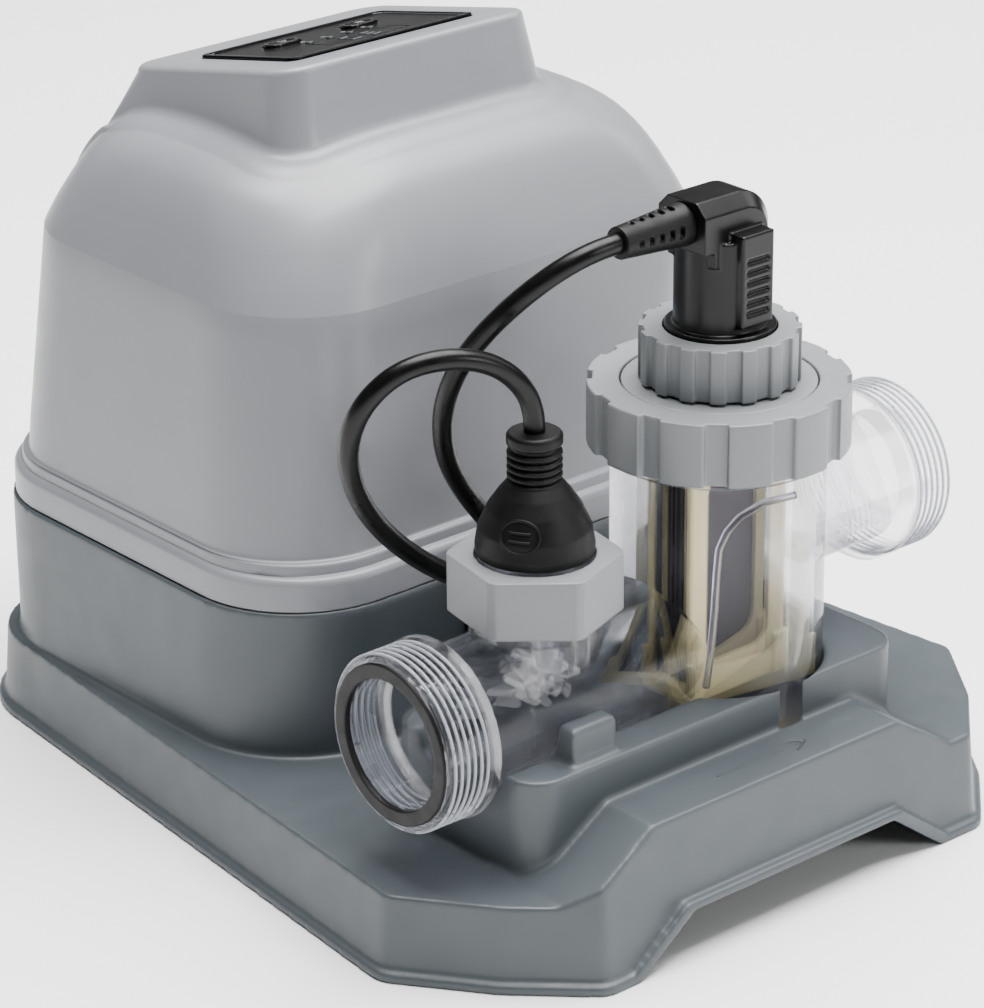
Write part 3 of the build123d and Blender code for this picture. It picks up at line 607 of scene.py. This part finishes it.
@dataclass
class Studio:
    """Pale floor, soft lights and the camera."""

    camera_at: Point = (-0.84534, -0.99077, 0.65846)
    azimuth: float = -40.7412
    elevation: float = 23.4626
    roll: float = -0.5194
    lens: float = 144.4
    floor_size: float = 8.0

    def camera(self) -> None:
        """Set up the camera."""
        data = bpy.data.cameras.new("camera")
        data.lens = self.lens
        data.sensor_width = 36.0
        eye = link("camera", data)
        turn, rise = math.radians(self.azimuth), math.radians(self.elevation)
        back = Vector((math.sin(turn) * math.cos(rise), -math.cos(turn) * math.cos(rise), math.sin(rise)))
        eye.rotation_mode = "QUATERNION"
        level = (-back).to_track_quat("-Z", "Y")
        eye.rotation_quaternion = level @ Quaternion((0, 0, 1), math.radians(self.roll))
        eye.location = self.camera_at
        bpy.context.scene.camera = eye

    def lamp(self, name: str, at: Point, size: float, watts: float) -> None:
        """Square soft light aimed at the generator."""
        data = bpy.data.lights.new(name, "AREA")
        data.size = size
        data.energy = watts
        lamp = link(name, data)
        lamp.location = at
        lamp.rotation_mode = "QUATERNION"
        lamp.rotation_quaternion = (Vector((0, 0, 0.1)) - Vector(at)).to_track_quat("-Z", "Y")

    def build(self) -> None:
        """Make floor, lights and surround."""
        mesh = bpy.data.meshes.new("floor")
        half = self.floor_size / 2
        mesh.from_pydata([(-half, -half, 0), (half, -half, 0), (half, half, 0), (-half, half, 0)], [],
                         [(0, 1, 2, 3)])
        floor = link("floor", mesh)
        graph = Graph("floor_pale")
        graph.link(graph.blend_colour(graph.noise(400.0), (0.9, 0.9, 0.9), (0.92, 0.92, 0.92)), "Base Color")
        graph.constant(Roughness=0.8)
        mesh.materials.append(graph.material)
        world = bpy.data.worlds.new("surround")
        world.use_nodes = True
        world.node_tree.nodes["Background"].inputs["Color"].default_value = (1, 1, 1, 1)
        world.node_tree.nodes["Background"].inputs["Strength"].default_value = 0.14
        bpy.context.scene.world = world
        self.lamp("top", (0.35, 0.0, 2.2), 2.0, 235.0)
        self.lamp("key", (0.7, -1.9, 0.9), 0.6, 15.0)
        self.lamp("rim", (1.6, -0.5, 1.1), 0.8, 8.0)


# ---- leads ---------------------------------------------------------------------------------


@dataclass
class Lead:
    """Round vinyl lead between a moving fitting and its gland."""

    node: str
    body: Body
    route: Sequence[Point]
    length: float
    follow_above: float
    fixed_below: float = 0.075
    diameter: float = 0.007

    def spline(self, thick: bool) -> bpy.types.Mesh:
        """Mesh of the lead's smooth line.

        Args:
            thick: Give the line its round section.

        Returns:
            A tube, or the bare line.
        """
        curve = bpy.data.curves.new(self.node, "CURVE")
        curve.dimensions = "3D"
        line = curve.splines.new("NURBS")
        line.points.add(len(self.route) - 1)
        for point, spot in zip(line.points, self.route):
            point.co = (*spot, 1.0)
        line.order_u = 3
        line.use_endpoint_u = True
        line.resolution_u = 12
        if thick:
            curve.bevel_depth = self.diameter / 2
            curve.bevel_resolution = 7
            curve.use_fill_caps = True
        return curve_mesh(self.node, curve)

    def build(self) -> None:
        """Make the lead in place of its CAD node, as a fixed tube along its route."""
        path = [tuple(vertex.co) for vertex in self.spline(False).vertices]
        mesh = self.spline(True)
        mesh.shade_smooth()
        piece = link(f"{self.node}_lead", mesh)
        mesh.materials.clear()
        mesh.materials.append(paint.get(paint.cord))
        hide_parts(self.node)
        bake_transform(piece)
        log.info("%s lead: %d faces", self.node, len(mesh.polygons))


def leads() -> list[Lead]:
    """The sensor's lead and the cell's lead."""
    sensor = [(-59.5, -99.5, 168.0), (-59.5, -99.5, 176.0), (-65.5, -98.3, 187.0), (-76.0, -95.8, 195.0),
              (-90.0, -91.5, 198.5), (-104.0, -85.5, 196.0), (-113.5, -78.5, 184.5), (-114.5, -72.0, 168.5),
              (-107.5, -67.0, 150.5), (-96.0, -64.5, 133.5), (-79.5, -63.5, 117.5), (-60.0, -63.0, 103.5),
              (-38.0, -62.5, 93.0), (-19.0, -61.0, 83.0), (-4.5, -56.0, 72.5), (4.0, -44.0, 64.0),
              (4.0, -30.0, 64.0)]
    cell = [(-24.0, -99.5, 222.5), (-36.0, -99.5, 222.5), (-49.5, -92.0, 214.0), (-59.0, -81.0, 200.5),
            (-65.0, -70.0, 184.5), (-65.5, -61.0, 166.0), (-60.0, -55.0, 146.5), (-49.5, -52.0, 129.0),
            (-36.0, -52.0, 112.0), (-25.0, -52.5, 94.0), (-18.5, -52.5, 76.0), (-18.0, -42.5, 64.0),
            (-18.0, -30.0, 64.0)]
    metres = [[tuple(value * MM for value in spot) for spot in route] for route in (sensor, cell)]
    return [Lead("sensor_cord", Body.SENSOR, metres[0], 0.277, 0.165),
            Lead("cell_cord", Body.CELL, metres[1], 0.219, 0.205)]


# ---- control box ---------------------------------------------------------------------------


@dataclass
class ControlCover:
    """Grey cover: stepped flange, drafted wall, dome and the block that carries the panel."""

    middle_y: float = 67.5
    low: float = 83.6
    flange_x: float = 106.0
    flange_y: float = 91.5
    flange_corner: float = 43.4
    flange_height: float = 12.4
    step_height: float = 4.0
    wall_inset: tuple[float, float] = (4.0, 5.5)
    wall_corner: float = 41.0
    draft: float = 4.0
    lean: float = 5.0
    block_lean: float = 3.0
    right_corner: float = 24.0
    corner_growth: float = 0.3
    shoulder: float = 184.0
    dome: Sequence[tuple[float, float]] = ((0.0, 0.0), (6.0, 2.0), (17.0, 6.0), (30.0, 12.5), (37.0, 19.0),
                                           (41.0, 27.0), (43.0, 40.0), (43.5, 60.0))
    block_foot: tuple[float, float, float] = (63.6, 20.1, 145.0)
    block_head: tuple[float, float, float] = (54.0, 36.5, 118.0)
    block_corner: float = 13.0
    block_low: float = 199.0
    block_high: float = 266.2
    slope: float = 0.206
    slope_y: float = 36.8
    slope_z: float = 254.2
    panel_y: float = 74.5
    panel_half: tuple[float, float] = (41.2, 27.7)
    wall: float = 3.0

    def top_at(self, y: float) -> float:
        """Height of the sloping top at a depth."""
        return self.slope_z - self.slope * (y - self.slope_y)

    def on_panel(self, x: float, row: float, lift: float) -> Vector:
        """Point on the sloping panel: across, up the slope and out of its face."""
        tilt = -math.atan(self.slope)
        turned = Matrix.Rotation(tilt, 3, "X") @ Vector((x, row, lift))
        return Vector((self.block_lean, self.panel_y, self.top_at(self.panel_y))) + turned

    def rise_of(self, close: float) -> float:
        """Rise of the dome where its plan has closed in by an amount."""
        for (rise, at), (next_rise, next_at) in zip(self.dome, self.dome[1:]):
            if close <= next_at:
                share = (close - at) / (next_at - at)
                return rise + (next_rise - rise) * share
        return self.dome[-1][0]

    def smooth_rise(self, close: float, width: float = 5.0) -> float:
        """Rise of the dome with its steps eased into one curve."""
        samples = [close + width * (i / 8 - 0.5) * 2 * min(1.0, close / width) for i in range(9)]
        return sum(self.rise_of(max(0.0, sample)) for sample in samples) / len(samples)

    def dome_size(self, close: float) -> tuple[float, float, float, float]:
        """Half width, half depth, left and right corner radius where the dome has closed in by an amount."""
        shrink = self.draft + close
        rounder = self.corner_growth * shrink
        half_x = self.flange_x - self.wall_inset[0] - shrink + 1
        half_y = self.flange_y - self.wall_inset[1] - shrink - 1
        return half_x, half_y, self.wall_corner + rounder, self.right_corner + rounder

    def dome_ring(self, close: float, inset: float = 0.0) -> list[tuple[float, float]]:
        """Plan of the dome where it has closed in by an amount."""
        half_x, half_y, left, right = self.dome_size(close)
        plan = rounded_plan(half_x - inset, half_y - inset, left - inset, right=right - inset)
        return [(x + self.lean, y + self.middle_y) for x, y in plan]

    def close_at(self, x: float, y: float) -> float:
        """How far the dome's plan has closed in where it passes a point."""
        low, high = 0.0, 60.0
        for _ in range(18):
            close = (low + high) / 2
            half_x, half_y, left, right = self.dome_size(close)
            corner = min(right if x > self.lean else left, half_x - 0.01, half_y - 0.01)
            across = abs(x - self.lean) - (half_x - corner)
            along = abs(y - self.middle_y) - (half_y - corner)
            outside = math.hypot(max(across, 0), max(along, 0)) + min(max(across, along), 0) - corner
            if outside > 0:
                high = close
            else:
                low = close
        return low

    def dome_at(self, x: float, y: float) -> float:
        """Height of the dome above a point."""
        return self.shoulder + self.smooth_rise(self.close_at(x, y))

    def block_ring(self, heights: float | Sequence[float], grow: float) -> list[tuple[float, float]]:
        """Plan of the block, grown or shrunk, at one height or at a height for each point."""
        plans = []
        for half_x, front, back in (self.block_foot, self.block_head):
            plan = rounded_plan(half_x + grow, (back - front) / 2 + grow, self.block_corner + grow)
            plans.append([(x + self.block_lean, y + (front + back) / 2) for x, y in plan])
        if isinstance(heights, (int, float)):
            heights = [heights] * len(plans[0])
        shares = [(height - self.block_low) / (self.block_high - self.block_low) for height in heights]
        return [(a[0] + (b[0] - a[0]) * share, a[1] + (b[1] - a[1]) * share)
                for a, b, share in zip(*plans, shares)]

    def block_on_dome(self, grow: float, above: float) -> list[Vector]:
        """Line round the block's foot where it meets the dome.

        Args:
            grow: How far outside the block's faces the line runs.
            above: Its height above the dome.

        Returns:
            Its points.
        """
        heights = [self.block_low + 18.0] * len(rounded_plan(1, 1, 0.5))
        for _ in range(6):
            plan = self.block_ring(heights, grow)
            found = [self.dome_at(*spot) + above for spot in plan]
            heights = [(old + new) / 2 for old, new in zip(heights, found)]
        return [Vector((x, y, z)) for (x, y), z in zip(self.block_ring(heights, grow), heights)]

    def outer_rings(self) -> list[list[Vector]]:
        """Rings up the outside, from the flange's foot to the panel's recess."""
        rings: list[list[Vector]] = []

        def flat(inset_x: float, inset_y: float, corner: float, z: float, lean: float = 0.0) -> None:
            """Add a level ring set in from the flange."""
            plan = rounded_plan(self.flange_x - inset_x, self.flange_y - inset_y, corner)
            rings.append([Vector((x + lean, y + self.middle_y, z)) for x, y in plan])

        flat(0.7, 0.7, self.flange_corner - 0.7, self.low)
        flat(0.0, 0.0, self.flange_corner, self.low + 0.7)
        first = self.low + self.flange_height
        self.bulge(flat, 0.0, 0.0, self.flange_corner, first, 3.0)
        flat(2.6, 3.2, self.flange_corner - 2.6, first + 0.1)
        second = first + self.step_height
        self.bulge(flat, 2.8, 3.4, self.flange_corner - 2.8, second, 1.4)
        wall_x, wall_y = self.wall_inset
        for i in range(5):
            turn = math.pi / 2 * i / 4
            give = 1.2 * (1 - math.sin(turn))
            flat(wall_x + 0.2 - give, wall_y + 0.2 - give, self.wall_corner,
                 second + 1.2 * (1 - math.cos(turn)))
        half_x, half_y, left, right = self.dome_size(0.0)
        wall_half = (self.flange_x - wall_x, self.flange_y - wall_y)
        for i in range(1, 10):
            share = i / 9
            plan = rounded_plan(wall_half[0] + (half_x - wall_half[0]) * share,
                                wall_half[1] + (half_y - wall_half[1]) * share,
                                self.wall_corner + (left - self.wall_corner) * share,
                                right=self.wall_corner + (right - self.wall_corner) * share)
            height = second + 1.2 + (self.shoulder - second - 1.2) * share
            rings.append([Vector((x + self.lean * share, y + self.middle_y, height)) for x, y in plan])
        for close in (0.08, 0.9, 2.0, 3.4, 5.0, 7.0, 9.2, 11.6):
            plan = self.dome_ring(close)
            rings.append([Vector((x, y, self.shoulder + self.smooth_rise(close))) for x, y in plan])
        fillet, ledge, step = 4.0, 6.0, 1.3
        outer = self.dome_ring(11.6)
        brow = self.block_on_dome(fillet + ledge, 0.0)
        foot = self.block_on_dome(fillet, step)
        reach = [min(1.0, max(0.15, (spot.z - self.shoulder - 22.0) / 12.0)) for spot in brow]
        brow = [low.lerp(high, share) for low, high, share in zip(foot, brow, reach)]
        for i in range(1, 9):
            share = i / 8
            plan = [(a[0] + (b[0] - a[0]) * share, a[1] + (b[1] - a[1]) * share) for a, b in zip(outer, brow)]
            rings.append([Vector((x, y, self.dome_at(x, y))) for x, y in plan])
        rings.append([low.lerp(high, 0.15) + Vector((0, 0, 0.7)) for low, high in zip(brow, foot)])
        for i in range(7):
            turn = math.pi / 2 * i / 6
            up = fillet * (1 - math.cos(turn))
            tops = [spot.z + up for spot in foot]
            plan = self.block_ring(tops, fillet * (1 - math.sin(turn)))
            rings.append([Vector((x, y, z)) for (x, y), z in zip(plan, tops)])
        edge = 2.6
        foot_ring = rings[-1]
        upper = [Vector((x, y, self.top_at(y) - edge)) for x, y in self.block_ring(self.slope_z - 5, 0.0)]
        for i in range(1, 4):
            rings.append([low.lerp(high, i / 3) for low, high in zip(foot_ring, upper)])
        for i in range(1, 6):
            turn = math.pi / 2 * i / 5
            plan = self.block_ring(self.slope_z - 5, -edge * (1 - math.cos(turn)))
            rings.append([Vector((x, y, self.top_at(y) - edge * (1 - math.sin(turn)))) for x, y in plan])
        return rings

    @staticmethod
    def bulge(flat: Callable[..., None], inset_x: float, inset_y: float, corner: float, top: float,
              radius: float) -> None:
        """Add the rings of a rounded upper edge.

        Args:
            flat: Adds one level ring.
            inset_x: Inset of the wall below, across.
            inset_y: Inset of the wall below, in depth.
            corner: Corner radius of the wall below.
            top: Height of the top.
            radius: Radius of the edge.
        """
        for i in range(6):
            turn = math.pi / 2 * i / 5
            give = radius * (1 - math.cos(turn))
            flat(inset_x + give, inset_y + give, corner - give, top - radius * (1 - math.sin(turn)))

    def recess_rings(self) -> list[list[Vector]]:
        """Rings down into the panel's recess and through the opening under it."""
        half_x, half_y = self.panel_half
        steps = [(0.5, 0.0), (0.15, -0.1), (0.0, -0.4), (0.0, -1.6), (-4.2, -1.6), (-4.2, -self.wall)]
        return [[self.on_panel(x, row, lift)
                 for x, row in rounded_plan(half_x + grow, half_y + grow, 4.2 + grow * 0.5)]
                for grow, lift in steps]

    def inner_rings(self) -> list[list[Vector]]:
        """Rings down the inside, from the panel's opening to the flange's foot."""
        rings = []
        top_plan = self.block_ring(self.slope_z - 8, -self.wall)
        rings.append([Vector((x, y, self.top_at(y) - self.wall - 0.3)) for x, y in top_plan])
        rings.append(self.block_on_dome(-self.wall, -self.wall))
        for close in (11.6, 6.4, 2.8, 0.25):
            plan = self.dome_ring(close, self.wall)
            height = self.shoulder + self.smooth_rise(close) - self.wall
            rings.append([Vector((x, y, height)) for x, y in plan])
        plan = rounded_plan(self.flange_x - self.wall_inset[0] - self.wall,
                            self.flange_y - self.wall_inset[1] - self.wall, self.wall_corner - self.wall)
        rings.append([Vector((x, y + self.middle_y, self.low)) for x, y in plan])
        return rings

    def build(self) -> None:
        """Make the cover as one closed skin."""
        rings = self.outer_rings() + self.recess_rings() + self.inner_rings()
        cover = skin("cover_shell", rings, loop=True, angle=34.0)
        place(cover, paint.cover, Body.ROOT, "upper_housing")


@dataclass
class ControlPanel:
    """Gloss panel with two buttons, a display and a row of lenses."""

    cover: ControlCover
    face: float = 0.6
    button_xs: tuple[float, float] = (-17.25, 17.25)
    button_row: float = 9.5
    display_row: float = -13.0
    outline_half: tuple[float, float] = (38.2, 24.9)
    button_top: float = 1.42

    def strip(self, name: str, spots: Sequence[tuple[float, float]], width: float, finish: Finish, body: Body,
              lift: float, closed: bool = False) -> None:
        """Thin raised line of print on the panel.

        Args:
            name: Name of the piece.
            spots: Points across and up the slope.
            width: Width of the line.
            finish: Its finish.
            body: Body that it rides on.
            lift: Height of the surface under it.
            closed: Join its ends.
        """
        line = [self.cover.on_panel(x, row, lift) for x, row in spots]
        place(link(name, tube(name, line, width / 2, closed)), finish, body)

    def ring(self, x: float, row: float, radius: float, start: float = 0.0, sweep: float = 360.0,
             steps: int = 28) -> list[tuple[float, float]]:
        """Points of an arc on the panel."""
        return [(x + radius * math.cos(math.radians(start + sweep * i / steps)),
                 row + radius * math.sin(math.radians(start + sweep * i / steps))) for i in range(steps + 1)]

    def digit(self, name: str, x: float, lit: str) -> None:
        """Seven-segment digit on the display.

        Args:
            name: Name of the piece.
            x: Its middle.
            lit: Letters of the segments that are lit, a to g.
        """
        wide, tall = 2.3, 4.0
        ends = {"a": ((-wide, tall), (wide, tall)), "b": ((wide, tall), (wide, 0.0)),
                "c": ((wide, 0.0), (wide, -tall)), "d": ((-wide, -tall), (wide, -tall)),
                "e": ((-wide, -tall), (-wide, 0.0)), "f": ((-wide, 0.0), (-wide, tall)),
                "g": ((-wide, 0.0), (wide, 0.0))}
        for letter in lit:
            spots = [(x + across * 0.86, self.display_row + up * 0.93) for across, up in ends[letter]]
            self.strip(f"{name}_{letter}", spots, 0.7, paint.digit, Body.ROOT, self.face - 0.15)

    def build(self) -> None:
        """Make the panel's pieces."""
        place(eased("panel_bezel", 0.35, 2), paint.panel, Body.ROOT, "panel_bezel")
        place(eased("display_window", 0.3, 1), paint.glass, Body.ROOT, "display_window")
        place(eased("indicator_lenses", 0.15, 2), paint.lens, Body.ROOT, "indicator_lenses")
        place(eased("power_button", 0.25, 3), paint.button, Body.POWER_BUTTON, "power_button")
        place(eased("boost_button", 0.25, 3), paint.button, Body.BOOST_BUTTON, "boost_button")
        outline = rounded_plan(*self.outline_half, 3.5, 8, 4)
        self.strip("panel_outline", outline, 0.3, paint.print_grey, Body.ROOT, self.face, closed=True)
        left, right = self.button_xs
        self.strip("power_mark", self.ring(left, self.button_row, 1.5, 120, 300), 0.35, paint.print_grey,
                   Body.POWER_BUTTON, self.button_top)
        self.strip("power_mark_bar", [(left, self.button_row + 0.2), (left, self.button_row + 1.9)], 0.35,
                   paint.print_grey, Body.POWER_BUTTON, self.button_top)
        for i in range(2):
            row = self.button_row - 1.4 + i * 1.5
            spots = [(right - 1.6, row), (right, row + 1.3), (right + 1.6, row)]
            self.strip(f"boost_mark_{i}", spots, 0.35, paint.print_grey, Body.BOOST_BUTTON, self.button_top)
        self.digit("digit_left", -4.5, "abcdef")
        self.digit("digit_right", 4.5, "abcdfg")
        for i in range(4):
            x = (i - 1.5) * 9.0
            mark = self.ring(x, 2.4, 0.8, 0, 360, 16)
            self.strip(f"lens_mark_{i}", mark, 0.25, paint.print_grey, Body.ROOT, self.face)


@dataclass
class ControlBox:
    """Tray, cover, panel and what is inside them."""

    cover: ControlCover = field(default_factory=ControlCover)
    deck_height: float = 50.5
    arrow_y: float = -147.75
    arrow_ends: tuple[float, float] = (-23.0, 17.0)
    barb: float = 7.0
    barb_spread: float = 0.55
    arrow_sunk: float = 0.15
    arrow_radius: float = 0.45

    def arrow(self) -> None:
        """Open arrow on the front deck that shows which way the water flows; its darker colour is painted
        shade for the engraved groove.
        """
        tail, tip = self.arrow_ends
        strokes = [[(tail, 0.0), (tip, 0.0)]]
        strokes += [[(tip - self.barb, side * self.barb * self.barb_spread), (tip, 0.0)] for side in (-1, 1)]
        for i, stroke in enumerate(strokes):
            spots = [(x, y + self.arrow_y, self.deck_height - self.arrow_sunk) for x, y in stroke]
            name = f"flow_arrow_{i}"
            place(link(name, tube(name, spots, self.arrow_radius)), paint.engraving_shade, Body.ROOT)

    def build(self) -> None:
        """Make the box from the floor up."""
        place(eased("base_shell", 0.95, 7), paint.base, Body.ROOT, "base_shell")
        self.arrow()
        dress(paint.base, "bottom_plate")
        self.cover.build()
        ControlPanel(self.cover).build()
        dress(paint.board, "panel_board", "control_board")
        dress(paint.black, "panel_switches", "led_display", "relay", "fuse_holder")
        dress(paint.white, "indicator_leds")
        dress(paint.steel, "panel_standoffs", "board_screws", "transformer_core", "cover_screws")
        dress(paint.copper, "transformer_coil")
        dress(paint.sink, "capacitors", "heat_sink")
        dress(paint.nut, "terminal_block")
        for gland in ("sensor_cord_gland", "cell_cord_gland", "mains_gland"):
            place(eased(gland, 0.45, 2), paint.black, Body.ROOT, gland)


# ---- water side ----------------------------------------------------------------------------


@dataclass
class WaterPath:
    """Clear flow body with its hose gasket and the edge where the outlet runs into the chamber."""

    edge_line: Sequence[Point] = ((21.6, -136.2, 134.1), (9.2, -133.9, 134.1), (2.2, -130.4, 130.0),
                                  (-1.2, -128.0, 124.9), (-3.1, -126.3, 118.5), (-3.6, -125.9, 109.5),
                                  (-4.0, -125.6, 96.9), (-4.6, -124.8, 82.3), (-5.6, -123.7, 68.5))
    edge_radius: float = 1.3
    axis_y: float = -99.5
    tails: Sequence[tuple[float, float, float]] = ((-121.0, 1.0, 77.0), (105.0, -1.0, 111.8))
    crest_radius: float = 29.75
    crest_half: float = 0.5
    first_crest: float = 1.85
    pitch: float = 2.7
    turns: int = 6
    crest_points: int = 72

    def crests(self) -> None:
        """Frosted crest on each turn of the two hose threads."""
        for side, (face_x, way, height) in enumerate(self.tails):
            for turn in range(self.turns):
                x = face_x + way * (self.first_crest + turn * self.pitch)
                spots = [(x, self.axis_y + self.crest_radius * math.cos(math.tau * i / self.crest_points),
                          height + self.crest_radius * math.sin(math.tau * i / self.crest_points))
                         for i in range(self.crest_points)]
                name = f"thread_crest_{side}_{turn}"
                place(link(name, tube(name, spots, self.crest_half, True)), paint.frost, Body.ROOT)

    def edge(self) -> None:
        """Raised edge on the front of the chamber."""
        mesh = tube("outlet_edge", self.edge_line, self.edge_radius)
        place(link("outlet_edge", mesh), paint.clear_edge, Body.ROOT)

    def build(self) -> None:
        """Dress the flow body and make its gasket, edge and thread crests."""
        dress(paint.clear, "flow_body")
        place(eased("inlet_gasket", 0.4, 2), paint.rubber, Body.ROOT, "inlet_gasket")
        self.edge()
        self.crests()


@dataclass
class CellCartridge:
    """Electrode stack in its cream frame under the cap, with its nuts and plug."""

    def build(self) -> None:
        """Make the cartridge's pieces."""
        place(eased("cell_cap", 0.6, 2), paint.nut, Body.CELL, "cell_cap")
        dress(paint.rubber, "cell_o_ring")
        place(eased("cell_frame", 0.5, 2), paint.cream, Body.CELL, "cell_frame")
        dress(paint.plate, "cell_plates")
        dress(paint.steel, "cell_terminals")
        place(eased("collar_nut", 0.6, 4), paint.nut, Body.COLLAR_NUT, "collar_nut")
        place(eased("plug_nut", 0.45, 3), paint.nut, Body.PLUG_NUT, "plug_nut")
        place(eased("cell_plug", 0.45, 2), paint.black, Body.CELL, "cell_plug")
        place(eased("plug_strain_relief", 0.35, 2), paint.rubber, Body.CELL, "plug_strain_relief")


@dataclass
class FlowSensor:
    """Paddle sensor with its clear stem, nut and boot."""

    axis: tuple[float, float] = (-59.5, -99.5)
    boot_sides: Sequence[tuple[float, float]] = ((19.6, 129.6), (18.6, 135.6), (15.4, 142.6), (12.0, 147.6))
    grip_turn: float = 212.0
    grip_height: float = 138.0
    grip_size: tuple[float, float] = (6.5, 5.0)
    grip_points: int = 40
    rim_radius: float = 0.55
    ridge_radius: float = 0.5
    ridge_rows: tuple[float, float] = (-1.3, 1.3)

    def boot_radius(self, height: float) -> float:
        """Radius of the boot's side at a height."""
        for (low_radius, low), (high_radius, high) in zip(self.boot_sides, self.boot_sides[1:]):
            if height <= high:
                return low_radius + (high_radius - low_radius) * (height - low) / (high - low)
        return self.boot_sides[-1][0]

    def on_boot(self, across: float, up: float) -> Point:
        """Point on the boot's side, across and up from the middle of the grip."""
        height = self.grip_height + up
        radius = self.boot_radius(height)
        turn = math.radians(self.grip_turn) + across / radius
        return (self.axis[0] + radius * math.cos(turn), self.axis[1] + radius * math.sin(turn), height)

    def grip(self) -> None:
        """Oval rim and two ridges of the thumb grip on the boot."""
        wide, tall = self.grip_size
        turns = [math.tau * i / self.grip_points for i in range(self.grip_points)]
        rim = [self.on_boot(wide * math.cos(turn), tall * math.sin(turn)) for turn in turns]
        place(link("boot_grip_rim", tube("boot_grip_rim", rim, self.rim_radius, True)), paint.rubber,
              Body.SENSOR)
        for i, up in enumerate(self.ridge_rows):
            ridge = [self.on_boot(wide * 0.55 * (j / 4 - 1), up) for j in range(9)]
            name = f"boot_grip_ridge_{i}"
            place(link(name, tube(name, ridge, self.ridge_radius)), paint.rubber, Body.SENSOR)

    def build(self) -> None:
        """Make the sensor's pieces."""
        dress(paint.clear, "sensor_body")
        dress(paint.rubber, "sensor_o_ring")
        dress(paint.steel, "paddle_axle")
        place(eased("paddle_wheel", 0.3, 2), paint.white, Body.PADDLE, "paddle_wheel")
        place(eased("sensor_nut", 0.5, 4), paint.nut, Body.SENSOR_NUT, "sensor_nut")
        place(eased("sensor_boot", 0.5, 4), paint.rubber, Body.SENSOR, "sensor_boot")
        self.grip()


def main() -> None:
    """Build the generator, from the leads and the studio to the last fitting."""
    logging.basicConfig(level=logging.INFO, format="%(name)s %(message)s")
    studio = Studio()
    studio.camera()
    for lead in leads():
        lead.build()
    studio.build()
    for assembly in (ControlBox(), WaterPath(), CellCartridge(), FlowSensor()):
        assembly.build()
        log.info("%s done", type(assembly).__name__)


if __name__ == "__main__":
    main()
